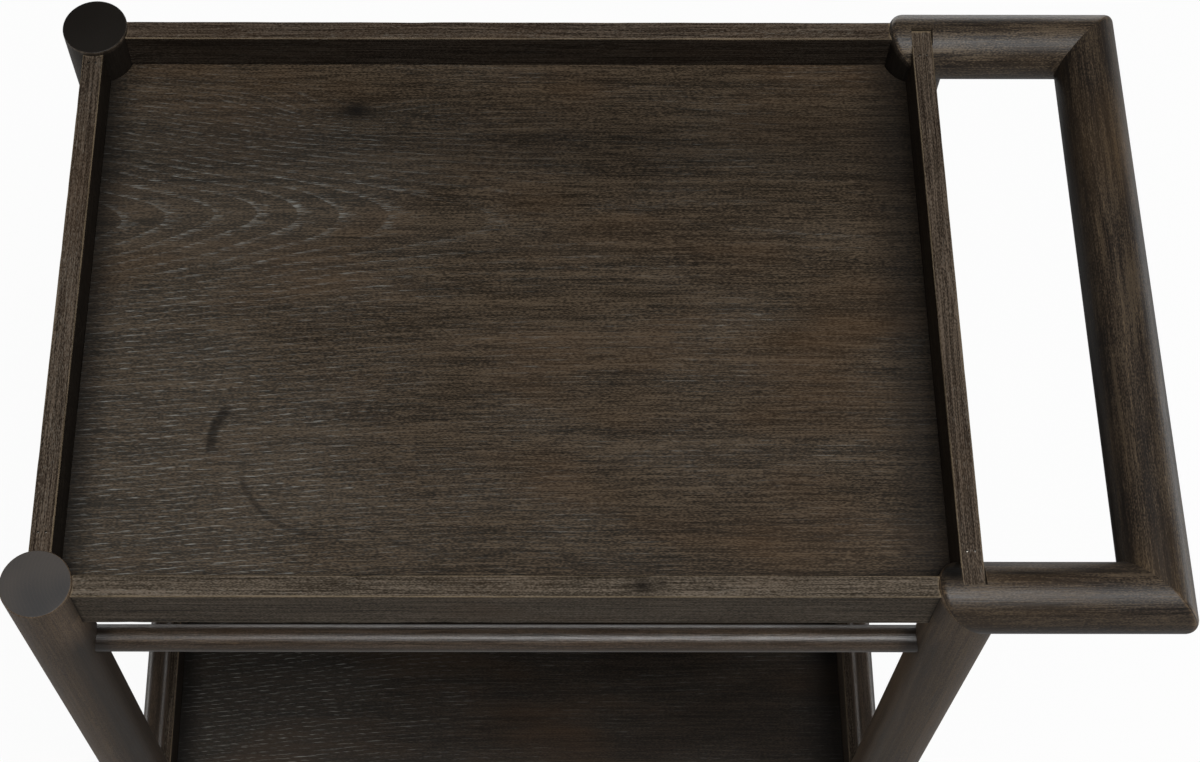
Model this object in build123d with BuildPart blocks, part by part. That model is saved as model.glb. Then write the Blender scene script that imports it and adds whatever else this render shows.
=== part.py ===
from build123d import *
from math import hypot
import os

os.makedirs("parts", exist_ok=True)

# Bar cart in dark brushed oak, in millimetres.
# X runs from the plain end to the handle, Y from the front to the rear, Z up from the floor.
# The origin is on the floor, under the middle of the whole cart.

# Round stock that the posts and the handle are turned from
post_diameter = 50.0
post_rim_ease = 1.2
post_foot_chamfer = 1.5
mitre_tip_radius = 6.0

# Plan and height of the frame
total_height = 840.0
post_spacing_x = 644.0
post_spacing_y = 465.0
handle_reach = 131.5

# Tray rails, coped and tenoned to the posts
rail_thickness = 16.0
rail_drop = 4.0
rail_below_panel = 4.0
rail_arris = 0.8
tray_depth = 34.0
tier_spacing = 547.0
tenon_thickness = 8.0
tenon_length = 13.0
tenon_shoulder = 4.0
tenon_end_gap = 0.5
mortise_fit = 0.1

# Tray panels, held by a tongue all round in grooves in the rails
panel_thickness = 12.0
tongue_thickness = 6.0
groove_depth = 5.0
groove_end_gap = 0.3
groove_fit = 0.1
panel_shoulder_gap = 0.3
panel_notch_gap = 0.3

# Round rods between the posts
rod_diameter = 20.0
rod_socket_depth = 14.0
rod_end_gap = 0.4
rod_fit = 0.05
upper_rod_gap = 43.0
lower_rod_gap = 45.0

# Hidden dowels across each mitre of the handle
mitre_dowel_diameter = 8.0
mitre_dowel_length = 20.0
mitre_dowel_spacing = 13.0
mitre_dowel_fit = 0.05
mitre_dowel_end_gap = 0.5

# Casters: wheel and tyre
wheel_diameter = 60.0
tyre_thickness = 7.0
tyre_width = 20.0
tyre_crown = 4.0
hub_rim_thickness = 3.0
hub_web_thickness = 6.0
hub_boss_diameter = 16.0
axle_diameter = 6.0
axle_fit = 0.05
axle_head_diameter = 11.0
axle_head_height = 2.5
axle_head_ease = 1.0
wheel_side_gap = 0.3
hub_boss_stand = 1.0

# Casters: fork, and the ball race it swivels on
caster_trail = 22.0
fork_sheet = 2.5
fork_top_gap = 4.0
fork_crown_diameter = 34.0
fork_crown_ease = 0.8
fork_cheek_length = 20.0
fork_boss_diameter = 18.0
ball_diameter = 5.0
ball_count = 10
ball_pitch_diameter = 20.0
ball_fit = 0.05
race_track_depth = 0.8
race_sheet = 2.0
race_diameter = 32.0
race_lip_diameter = 26.0
race_skirt_gap = 0.5

# Casters: stem and socket
stem_diameter = 8.0
stem_fit = 0.05
stem_length = 32.0
stem_head_diameter = 14.0
stem_head_height = 2.0
stem_head_play = 0.1
stem_tip_chamfer = 1.0
socket_wall = 1.5
socket_length = 36.0
socket_flange_diameter = 24.0
socket_flange_thickness = 2.0

# Places worked out from the sizes above
post_radius = post_diameter / 2
rod_radius = rod_diameter / 2
wheel_radius = wheel_diameter / 2
left_x = -(post_spacing_x + handle_reach) / 2
right_x = left_x + post_spacing_x
bar_x = right_x + handle_reach
front_y = -post_spacing_y / 2
rear_y = post_spacing_y / 2
arm_z = total_height - post_radius
fork_crown_z = wheel_diameter + fork_top_gap
fork_top_z = fork_crown_z + fork_sheet
ball_z = fork_top_z + ball_diameter / 2 - race_track_depth
race_ceiling_z = ball_z + ball_diameter / 2 - race_track_depth
flange_z = race_ceiling_z + race_sheet
caster_height = flange_z + socket_flange_thickness

# Heights of each tray, all counted down from its rail's top
rail_height = tray_depth + panel_thickness + rail_below_panel
upper_rail_top = total_height - rail_drop
lower_rail_top = upper_rail_top - tier_spacing
upper_rod_z = upper_rail_top - rail_height - upper_rod_gap - rod_radius
lower_rod_z = lower_rail_top + lower_rod_gap + rod_radius

# The tenons sit low in the rails, so that they miss the mitre under each handle arm
tenon_top_drop = post_radius - rail_drop + tenon_thickness / 2 + tenon_shoulder
tenon_height = rail_height - tenon_top_drop - tenon_shoulder
tenon_reach = post_radius - tenon_length
rod_reach = post_radius - rod_socket_depth

# The tongue is at half the panel's thickness
tongue_drop = tray_depth + (panel_thickness + tongue_thickness) / 2

# The panel's notch clears the post and the shoulders of the tenons beside it
panel_notch_radius = hypot(post_radius + panel_notch_gap, tenon_thickness / 2)

# Holes for the mitre dowels
dowel_hole_radius = mitre_dowel_diameter / 2 + mitre_dowel_fit
dowel_hole_depth = mitre_dowel_length / 2 + mitre_dowel_end_gap

up = (0, 0, 1)
along_x = (1, 0, 0)
along_y = (0, 1, 0)


def save(piece, name):
    """Label one finished piece and write its file."""
    piece.part.label = name
    export_step(piece.part, f"parts/{name}.step")


def arm_mitre(y):
    """Plane of the mitre between a post and its handle arm, with its face towards the arm."""
    return Plane(origin=(right_x, y, arm_z), x_dir=along_y, z_dir=(1, 0, 1))


def corner_mitre(y):
    """Plane of the mitre between a handle arm and the crossbar, with its face towards the bar."""
    inward = -1 if y > 0 else 1
    return Plane(origin=(bar_x, y, arm_z), x_dir=up, z_dir=(1, inward, 0))


def arm_tip(y):
    """Plane across the tip where a post turns into its arm, centred on the tip's rounding."""
    inset = post_radius - mitre_tip_radius
    return Plane(origin=(right_x - inset, y, arm_z + inset), x_dir=(-1, 0, 0), z_dir=along_y)


def corner_tip(y):
    """Plane across an outer corner of the handle, centred on the corner's rounding."""
    outward = 1 if y > 0 else -1
    inset = post_radius - mitre_tip_radius
    return Plane(origin=(bar_x + inset, y + outward * inset, arm_z), x_dir=along_x, z_dir=(0, 0, outward))


def tip_waste(tip):
    """What sanding takes off the tip of a mitre: a square corner less a quarter circle."""
    with BuildSketch(tip) as section:
        Rectangle(post_radius, post_radius, align=(Align.MIN, Align.MIN))
        Circle(mitre_tip_radius, mode=Mode.SUBTRACT)
    return section.sketch


def mitre_dowel_section(mitre, radius):
    """Two circles on a mitre, where its dowels cross it."""
    with BuildSketch(mitre) as section:
        with Locations((-mitre_dowel_spacing / 2, 0), (mitre_dowel_spacing / 2, 0)):
            Circle(radius)
    return section.sketch


def post_form(x, y, mitred):
    """Solid of a post before its joints are cut, flat at the top or mitred for an arm."""
    with BuildPart() as form:
        with BuildSketch(Plane.XY.offset(caster_height)):
            with Locations((x, y)):
                Circle(post_radius)
        extrude(amount=total_height - caster_height)
        if mitred:
            split(bisect_by=arm_mitre(y), keep=Keep.BOTTOM)
            extrude(tip_waste(arm_tip(y)), amount=post_radius, both=True, mode=Mode.SUBTRACT)
        else:
            fillet(form.edges().group_by(Axis.Z)[-1], radius=post_rim_ease)
        chamfer(form.edges().group_by(Axis.Z)[0], length=post_foot_chamfer)
    return form


def arm_form(y):
    """Solid of a handle arm before its dowel holes, mitred at both ends."""
    with BuildPart() as form:
        with BuildSketch(Plane(origin=(right_x - post_radius, y, arm_z), z_dir=along_x)):
            Circle(post_radius)
        extrude(amount=handle_reach + post_diameter)
        split(bisect_by=arm_mitre(y), keep=Keep.TOP)
        split(bisect_by=corner_mitre(y), keep=Keep.BOTTOM)
        for tip in (arm_tip(y), corner_tip(y)):
            extrude(tip_waste(tip), amount=post_radius, both=True, mode=Mode.SUBTRACT)
    return form


def make_post(name, x, y):
    """One post with its mortises, rod sockets and the bore for its caster."""
    mitred = x > 0
    inward_x = -1 if x > 0 else 1
    inward_y = -1 if y > 0 else 1
    form = post_form(x, y, mitred)
    mortise_width = tenon_thickness + 2 * mortise_fit
    mortise_middle = (tenon_reach - tenon_end_gap + post_diameter) / 2
    mortise_run = post_diameter - tenon_reach + tenon_end_gap
    with BuildPart() as post:
        add(form.part)
        # Mortises for the four rail tenons that meet in this post
        for rail_top in (upper_rail_top, lower_rail_top):
            mortise_floor = rail_top - tenon_top_drop - tenon_height - mortise_fit
            with BuildSketch(Plane.XY.offset(mortise_floor)):
                with Locations((x + inward_x * mortise_middle, y)):
                    Rectangle(mortise_run, mortise_width)
                with Locations((x, y + inward_y * mortise_middle)):
                    Rectangle(mortise_width, mortise_run)
            extrude(amount=tenon_height + 2 * mortise_fit, mode=Mode.SUBTRACT)
        # Sockets for the upper rod along X and the lower rod along Y
        rod_start_x = x + inward_x * (rod_reach - rod_end_gap)
        with BuildSketch(Plane(origin=(rod_start_x, y, upper_rod_z), z_dir=(inward_x, 0, 0))):
            Circle(rod_radius + rod_fit)
        extrude(amount=post_diameter, mode=Mode.SUBTRACT)
        rod_start_y = y + inward_y * (rod_reach - rod_end_gap)
        with BuildSketch(Plane(origin=(x, rod_start_y, lower_rod_z), z_dir=(0, inward_y, 0))):
            Circle(rod_radius + rod_fit)
        extrude(amount=post_diameter, mode=Mode.SUBTRACT)
        # Bore in the foot for the caster socket
        with BuildSketch(Plane.XY.offset(caster_height)):
            with Locations((x, y)):
                Circle(stem_diameter / 2 + stem_fit + socket_wall)
        extrude(amount=socket_length, mode=Mode.SUBTRACT)
        if mitred:
            holes = mitre_dowel_section(arm_mitre(y), dowel_hole_radius)
            extrude(holes, amount=dowel_hole_depth, both=True, mode=Mode.SUBTRACT)
    save(post, name)


def make_arm(name, y):
    """One handle arm, running out level from the top of its post."""
    form = arm_form(y)
    with BuildPart() as arm:
        add(form.part)
        for mitre in (arm_mitre(y), corner_mitre(y)):
            holes = mitre_dowel_section(mitre, dowel_hole_radius)
            extrude(holes, amount=dowel_hole_depth, both=True, mode=Mode.SUBTRACT)
    save(arm, name)


def make_crossbar(name):
    """The bar that joins the two arms and that the hands hold."""
    with BuildPart() as bar:
        with BuildSketch(Plane(origin=(bar_x, front_y - post_radius, arm_z), z_dir=along_y)):
            Circle(post_radius)
        extrude(amount=post_spacing_y + post_diameter)
        for y in (front_y, rear_y):
            split(bisect_by=corner_mitre(y), keep=Keep.TOP)
            extrude(tip_waste(corner_tip(y)), amount=post_radius, both=True, mode=Mode.SUBTRACT)
        for y in (front_y, rear_y):
            holes = mitre_dowel_section(corner_mitre(y), dowel_hole_radius)
            extrude(holes, amount=dowel_hole_depth, both=True, mode=Mode.SUBTRACT)
    save(bar, name)


def make_mitre_dowels(name):
    """All the loose dowels hidden in the four mitres."""
    with BuildPart() as dowels:
        for y in (front_y, rear_y):
            for mitre in (arm_mitre(y), corner_mitre(y)):
                section = mitre_dowel_section(mitre, mitre_dowel_diameter / 2)
                extrude(section, amount=mitre_dowel_length / 2, both=True)
    save(dowels, name)


def make_rail(name, rail_top, middle, run, inward, coping):
    """One tray rail, centred on two posts, coped to them, grooved inside and tenoned.

    middle is the rail's midpoint in plan, run is the spacing of its posts as an X, Y pair with
    one zero, inward is the way its grooved face looks, and coping holds what its ends fit round.
    """
    rail_axis = Axis.X if run[0] else Axis.Y
    along = (1, 0) if run[0] else (0, 1)
    length = max(run)
    size = (length, rail_thickness) if run[0] else (rail_thickness, length)
    with BuildPart() as rail:
        with BuildSketch(Plane.XY.offset(rail_top - rail_height)):
            with Locations(middle):
                Rectangle(*size)
        extrude(amount=rail_height)
        fillet(rail.edges().filter_by(rail_axis), radius=rail_arris)
        # Groove for the tongue of the panel
        groove_shift = rail_thickness / 2 - groove_depth / 2
        groove_size = (length, groove_depth) if run[0] else (groove_depth, length)
        groove_middle = (middle[0] + inward[0] * groove_shift, middle[1] + inward[1] * groove_shift)
        with BuildSketch(Plane.XY.offset(rail_top - tongue_drop - groove_fit)):
            with Locations(groove_middle):
                Rectangle(*groove_size)
        extrude(amount=tongue_thickness + 2 * groove_fit, mode=Mode.SUBTRACT)
        # Ends scribed to the round posts, and to the arms where the rail meets them
        for form in coping:
            add(form.part, mode=Mode.SUBTRACT)
        # Tenons that enter the posts
        tenon_shift = (length - post_radius - tenon_reach) / 2
        tenon_size = (tenon_length, tenon_thickness) if run[0] else (tenon_thickness, tenon_length)
        with BuildSketch(Plane.XY.offset(rail_top - tenon_top_drop - tenon_height)):
            for end in (-1, 1):
                shift_x = middle[0] + end * along[0] * tenon_shift
                shift_y = middle[1] + end * along[1] * tenon_shift
                with Locations((shift_x, shift_y)):
                    Rectangle(*tenon_size)
        extrude(amount=tenon_height)
    save(rail, name)


def make_panel(name, rail_top):
    """One tray panel, notched round the four posts, with its tongue in the rail grooves."""
    shoulder_lap = -rail_thickness / 2 - panel_shoulder_gap
    tongue_lap = groove_depth - groove_end_gap - rail_thickness / 2
    with BuildPart() as panel:
        for drop, thickness, lap in (
            (tray_depth + panel_thickness, panel_thickness, shoulder_lap),
            (tongue_drop, tongue_thickness, tongue_lap),
        ):
            with BuildSketch(Plane.XY.offset(rail_top - drop)):
                with Locations(((left_x + right_x) / 2, 0)):
                    Rectangle(post_spacing_x + 2 * lap, post_spacing_y + 2 * lap)
                with Locations((left_x, front_y), (left_x, rear_y), (right_x, front_y), (right_x, rear_y)):
                    Circle(panel_notch_radius, mode=Mode.SUBTRACT)
            extrude(amount=thickness)
    save(panel, name)


def make_tray(prefix, rail_top, forms):
    """The four rails and the panel of one tray, fitted round the forms of posts and arms."""
    middle_x = (left_x + right_x) / 2
    front_ends = (forms["front_left"], forms["front_right"], forms["front_arm"])
    rear_ends = (forms["rear_left"], forms["rear_right"], forms["rear_arm"])
    left_ends = (forms["front_left"], forms["rear_left"])
    right_ends = (forms["front_right"], forms["rear_right"], forms["front_arm"], forms["rear_arm"])
    run_x = (post_spacing_x, 0)
    run_y = (0, post_spacing_y)
    make_rail(f"{prefix}_rail_front", rail_top, (middle_x, front_y), run_x, (0, 1), front_ends)
    make_rail(f"{prefix}_rail_rear", rail_top, (middle_x, rear_y), run_x, (0, -1), rear_ends)
    make_rail(f"{prefix}_rail_left", rail_top, (left_x, 0), run_y, (1, 0), left_ends)
    make_rail(f"{prefix}_rail_right", rail_top, (right_x, 0), run_y, (-1, 0), right_ends)
    make_panel(f"{prefix}_panel", rail_top)


def make_rod(name, start, direction, spacing):
    """One round rod, its two ends set into the posts."""
    length = spacing - 2 * rod_reach
    with BuildPart() as rod:
        with BuildSketch(Plane(origin=start, z_dir=direction)):
            Circle(rod_radius)
        extrude(amount=length)
    save(rod, name)


def make_caster(place, x, y):
    """One swivel caster under a post: socket, stem, race, balls, fork, axle, hub and tyre."""
    swivel_axis = Axis((x, y, 0), up)
    swivel_section = Plane(origin=(x, y, 0), x_dir=along_x, z_dir=(0, -1, 0))
    wheel_x = x + caster_trail
    wheel_axis = Axis((wheel_x, y, wheel_radius), along_y)
    wheel_section = Plane(origin=(wheel_x, y, wheel_radius), x_dir=along_y, z_dir=along_x)
    socket_bore = stem_diameter / 2 + stem_fit
    hub_radius = wheel_radius - tyre_thickness
    boss_half = tyre_width / 2 + hub_boss_stand
    fork_inside = boss_half + wheel_side_gap
    fork_outside = fork_inside + fork_sheet
    slot_length = 2 * (caster_trail + fork_boss_diameter)

    # Flanged steel sleeve, driven up into the post's foot
    with BuildPart() as socket:
        with BuildSketch(Plane.XY.offset(flange_z)):
            with Locations((x, y)):
                Circle(socket_flange_diameter / 2)
        extrude(amount=socket_flange_thickness)
        with BuildSketch(Plane.XY.offset(caster_height)):
            with Locations((x, y)):
                Circle(socket_bore + socket_wall)
        extrude(amount=socket_length)
        with BuildSketch(Plane.XY.offset(flange_z)):
            with Locations((x, y)):
                Circle(socket_bore)
        extrude(amount=socket_length + socket_flange_thickness, mode=Mode.SUBTRACT)
    save(socket, f"caster_socket_{place}")

    # Stem, gripped by the socket, with its riveted head under the fork's crown
    stem_foot = fork_crown_z - stem_head_play
    with BuildPart() as stem:
        with BuildSketch(Plane.XY.offset(stem_foot - stem_head_height)):
            with Locations((x, y)):
                Circle(stem_head_diameter / 2)
        extrude(amount=stem_head_height)
        chamfer(stem.edges().group_by(Axis.Z)[0], length=stem_head_height / 2)
        with BuildSketch(Plane.XY.offset(stem_foot)):
            with Locations((x, y)):
                Circle(stem_diameter / 2)
        extrude(amount=caster_height + stem_length - stem_foot)
        chamfer(stem.edges().group_by(Axis.Z)[-1], length=stem_tip_chamfer)
    save(stem, f"caster_stem_{place}")

    # Pressed cup on the stem, its curved track and skirt covering the ring of balls
    with BuildPart() as race:
        with BuildSketch(swivel_section):
            with BuildLine():
                Polyline(
                    (race_lip_diameter / 2, flange_z),
                    (stem_diameter / 2, flange_z),
                    (stem_diameter / 2, race_ceiling_z),
                    (race_diameter / 2 - race_sheet, race_ceiling_z),
                    (race_diameter / 2 - race_sheet, fork_top_z + race_skirt_gap),
                    (race_diameter / 2, fork_top_z + race_skirt_gap),
                    (race_diameter / 2, race_ceiling_z),
                )
                Spline(
                    (race_diameter / 2, race_ceiling_z),
                    (race_lip_diameter / 2, flange_z),
                    tangents=[(0, 1), (-1, 0)],
                )
            make_face()
        revolve(axis=swivel_axis)
        with BuildSketch(swivel_section):
            with Locations((ball_pitch_diameter / 2, ball_z)):
                Circle(ball_diameter / 2 + ball_fit)
        revolve(axis=swivel_axis, mode=Mode.SUBTRACT)
    save(race, f"caster_race_{place}")

    # Ring of loose balls between the cup and the fork's crown
    with BuildPart() as balls:
        with Locations((x, y, ball_z)):
            with PolarLocations(ball_pitch_diameter / 2, ball_count):
                Sphere(ball_diameter / 2)
    save(balls, f"caster_balls_{place}")

    # Pressed steel fork: a round crown with its ball track, and two cheeks raked back to the axle
    with BuildPart() as fork:
        with BuildSketch(swivel_section):
            with Locations((caster_trail, wheel_radius)):
                Circle(fork_boss_diameter / 2)
            with Locations((0, fork_crown_z + fork_sheet / 2)):
                Rectangle(fork_cheek_length, fork_sheet)
            make_hull()
        extrude(amount=fork_outside, both=True)
        with BuildSketch(swivel_section):
            with Locations((0, fork_top_z / 2)):
                Rectangle(slot_length, fork_top_z)
        extrude(amount=fork_inside, both=True, mode=Mode.SUBTRACT)
        with BuildSketch(Plane.XY.offset(fork_crown_z)):
            with Locations((x, y)):
                Circle(fork_crown_diameter / 2)
        extrude(amount=fork_sheet)
        crown_rim = fork.edges().filter_by(GeomType.CIRCLE).group_by(Axis.Z)[-1]
        chamfer(crown_rim, length=fork_crown_ease)
        with BuildSketch(Plane.XY.offset(fork_crown_z)):
            with Locations((x, y)):
                Circle(stem_diameter / 2 + stem_fit)
        extrude(amount=fork_sheet, mode=Mode.SUBTRACT)
        with BuildSketch(swivel_section):
            with Locations((ball_pitch_diameter / 2, ball_z)):
                Circle(ball_diameter / 2 + ball_fit)
        revolve(axis=swivel_axis, mode=Mode.SUBTRACT)
        with BuildSketch(swivel_section):
            with Locations((caster_trail, wheel_radius)):
                Circle(axle_diameter / 2)
        extrude(amount=fork_outside, both=True, mode=Mode.SUBTRACT)
    save(fork, f"caster_fork_{place}")

    # Axle riveted over at both cheeks
    with BuildPart() as axle:
        with BuildSketch(Plane(origin=(wheel_x, y, wheel_radius), z_dir=along_y)):
            Circle(axle_diameter / 2)
        extrude(amount=fork_outside, both=True)
        for side in (-1, 1):
            head_plane = Plane(origin=(wheel_x, y + side * fork_outside, wheel_radius), z_dir=(0, side, 0))
            with BuildSketch(head_plane):
                Circle(axle_head_diameter / 2)
            extrude(amount=axle_head_height)
        chamfer(axle.edges().group_by(Axis.Y)[0], length=axle_head_ease)
        chamfer(axle.edges().group_by(Axis.Y)[-1], length=axle_head_ease)
    save(axle, f"caster_axle_{place}")

    # Moulded hub with a thin web between its rim and boss
    with BuildPart() as hub:
        with BuildSketch(wheel_section):
            with BuildLine():
                Polyline(
                    (-boss_half, axle_diameter / 2 + axle_fit),
                    (-boss_half, hub_boss_diameter / 2),
                    (-hub_web_thickness / 2, hub_boss_diameter / 2),
                    (-hub_web_thickness / 2, hub_radius - hub_rim_thickness),
                    (-tyre_width / 2, hub_radius - hub_rim_thickness),
                    (-tyre_width / 2, hub_radius),
                    (tyre_width / 2, hub_radius),
                    (tyre_width / 2, hub_radius - hub_rim_thickness),
                    (hub_web_thickness / 2, hub_radius - hub_rim_thickness),
                    (hub_web_thickness / 2, hub_boss_diameter / 2),
                    (boss_half, hub_boss_diameter / 2),
                    (boss_half, axle_diameter / 2 + axle_fit),
                    close=True,
                )
            make_face()
        revolve(axis=wheel_axis)
    save(hub, f"caster_hub_{place}")

    # Rubber tyre with a crowned tread
    with BuildPart() as tyre:
        with BuildSketch(wheel_section):
            with BuildLine():
                Polyline(
                    (-tyre_width / 2, wheel_radius - tyre_crown),
                    (-tyre_width / 2, hub_radius),
                    (tyre_width / 2, hub_radius),
                    (tyre_width / 2, wheel_radius - tyre_crown),
                )
                ThreePointArc(
                    (tyre_width / 2, wheel_radius - tyre_crown),
                    (0, wheel_radius),
                    (-tyre_width / 2, wheel_radius - tyre_crown),
                )
            make_face()
        revolve(axis=wheel_axis)
    save(tyre, f"caster_tyre_{place}")


# The four posts, and the shapes that the rails are scribed round
places = {
    "front_left": (left_x, front_y),
    "rear_left": (left_x, rear_y),
    "front_right": (right_x, front_y),
    "rear_right": (right_x, rear_y),
}
forms = {}
for place, (x, y) in places.items():
    make_post(f"post_{place}", x, y)
    forms[place] = post_form(x, y, x > 0)
forms["front_arm"] = arm_form(front_y)
forms["rear_arm"] = arm_form(rear_y)

# Handle
make_arm("handle_arm_front", front_y)
make_arm("handle_arm_rear", rear_y)
make_crossbar("handle_crossbar")
make_mitre_dowels("handle_mitre_dowels")

# Trays
make_tray("upper", upper_rail_top, forms)
make_tray("lower", lower_rail_top, forms)

# Rods under the long sides of the upper tray and over the short sides of the lower one
make_rod("upper_rod_front", (left_x + rod_reach, front_y, upper_rod_z), along_x, post_spacing_x)
make_rod("upper_rod_rear", (left_x + rod_reach, rear_y, upper_rod_z), along_x, post_spacing_x)
make_rod("lower_rod_left", (left_x, front_y + rod_reach, lower_rod_z), along_y, post_spacing_y)
make_rod("lower_rod_right", (right_x, front_y + rod_reach, lower_rod_z), along_y, post_spacing_y)

# Casters
for place, (x, y) in places.items():
    make_caster(place, x, y)
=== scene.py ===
"""Looks of the bar cart: dark brushed oak on four swivel casters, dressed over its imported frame."""

import logging
import math
from dataclasses import dataclass, field, replace
from enum import Enum

import bpy
import numpy as np
from mathutils import Euler, Matrix, Vector
from mathutils.geometry import tessellate_polygon


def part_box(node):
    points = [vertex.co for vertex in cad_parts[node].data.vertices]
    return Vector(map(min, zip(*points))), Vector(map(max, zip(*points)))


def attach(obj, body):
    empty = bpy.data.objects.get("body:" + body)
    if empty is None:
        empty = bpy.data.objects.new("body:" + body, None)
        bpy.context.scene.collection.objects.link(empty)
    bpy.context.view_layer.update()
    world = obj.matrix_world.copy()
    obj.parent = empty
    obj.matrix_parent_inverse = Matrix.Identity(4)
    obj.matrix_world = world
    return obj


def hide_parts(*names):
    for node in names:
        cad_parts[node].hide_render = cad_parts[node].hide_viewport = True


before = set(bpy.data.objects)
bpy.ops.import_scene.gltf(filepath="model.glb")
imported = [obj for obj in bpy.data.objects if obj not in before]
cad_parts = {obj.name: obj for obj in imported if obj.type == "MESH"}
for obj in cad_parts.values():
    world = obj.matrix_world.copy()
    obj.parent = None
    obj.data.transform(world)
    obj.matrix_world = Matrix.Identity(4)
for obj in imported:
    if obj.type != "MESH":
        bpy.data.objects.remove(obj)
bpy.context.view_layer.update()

log = logging.getLogger("bar_cart")

MM = 0.001
PLACES = ("front_left", "rear_left", "front_right", "rear_right")
FRAME_BODY = "cart_frame"
SHARP_ANGLE = math.radians(40)
UP = Vector((0, 0, 1))

# What a socket can be linked from, rows of points with their depth and wear, and rings with their wear
Tree = bpy.types.NodeTree
Source = bpy.types.Node | bpy.types.NodeSocket
Rows = tuple[np.ndarray, np.ndarray, np.ndarray]
Rings = tuple[np.ndarray, np.ndarray]

# Noise textures spend most of their values between these
NOISE_SPAN = {"From Min": 0.3, "From Max": 0.7}

# Points round turned stock and across a rounded edge
STOCK_POINTS = 96
ROUND_STEPS = 7

# Each seed takes a piece of wood this many millimetres further along the tree
STRETCH = 977.0

# Darker tones of the two rear posts: painted shade, a shaded copy of the post oak
SHADED_REAR_POST_TONES = {"dark": "#1f1a16", "mid": "#2c2620", "light": "#3c342d", "warm": "#3f3226", "soot": "#15120f"}


def linear(colour: str) -> tuple[float, float, float, float]:
    """Turn an sRGB hex colour into linear RGBA.

    Args:
        colour: Colour such as "#3d342a".

    Returns:
        Red, green, blue and an alpha of 1, all linear.
    """
    digits = colour.lstrip("#")
    channels = [int(digits[i:i + 2], 16) / 255 for i in (0, 2, 4)]
    toned = [c / 12.92 if c <= 0.04045 else ((c + 0.055) / 1.055) ** 2.4 for c in channels]
    return (toned[0], toned[1], toned[2], 1.0)


def new_material(name: str) -> tuple[bpy.types.Material, Tree]:
    """Make a material with an empty node tree.

    Args:
        name: Name of the material.

    Returns:
        The material and its node tree.
    """
    material = bpy.data.materials.new(name)
    material.use_nodes = True
    material.node_tree.nodes.clear()
    return material, material.node_tree


def add_node(tree: Tree, kind: str, sockets: dict | None = None, **settings) -> bpy.types.Node:
    """Add one node with its settings, and set or link its inputs.

    Args:
        tree: Node tree that gets the node.
        kind: Blender's type name of the node, without the word ShaderNode.
        sockets: Input names or numbers, each with a value, an output to link from, or a node, whose first
            output in use is linked.
        **settings: Attributes of the node, such as operation.

    Returns:
        The new node.
    """
    node = tree.nodes.new(f"ShaderNode{kind}")
    for name, value in settings.items():
        setattr(node, name, value)
    for key, value in (sockets or {}).items():
        if isinstance(value, bpy.types.Node):
            value = next(output for output in value.outputs if output.enabled)
        if isinstance(value, bpy.types.NodeSocket):
            tree.links.new(value, node.inputs[key])
        else:
            node.inputs[key].default_value = value
    return node


class Grain(Enum):
    """Which way the grain of a piece of wood runs, with the turn that lays it along X."""

    ALONG_X = (0.0, 0.0, 0.0)
    ALONG_Y = (0.0, 0.0, -math.pi / 2)
    ALONG_Z = (0.0, math.pi / 2, 0.0)

    @property
    def direction(self) -> Vector:
        """Unit vector along the grain."""
        return Euler(self.value).to_matrix().transposed() @ Vector((1, 0, 0))


@dataclass(frozen=True)
class Patch:
    """A soft oval on a piece of wood, with its place from the stock's centre and its size, in millimetres."""

    along: float
    across: float
    length: float
    width: float


@dataclass(frozen=True)
class Mark(Patch):
    """A knot, a smear, and in some places a band of painted shade: how far it pushes the year rings aside, in
    millimetres, and how dark it is.
    """

    lift: float = 0.0
    darkness: float = 0.75


@dataclass(frozen=True)
class ShadedEnd:
    """Painted shade at the end of a board, where it meets a rail or a post: it begins at one place along the
    board and is full at another.
    """

    begins: float
    full: float
    darkness: float


@dataclass(frozen=True)
class RingStain:
    """Part of a ring left by a wet glass: its centre from the stock's centre, its radius and width, in
    millimetres, with the middle and half of the part that shows, in degrees, and how dark it is."""

    along: float
    across: float
    radius: float
    width: float
    bearing: float
    half_span: float
    darkness: float


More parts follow.
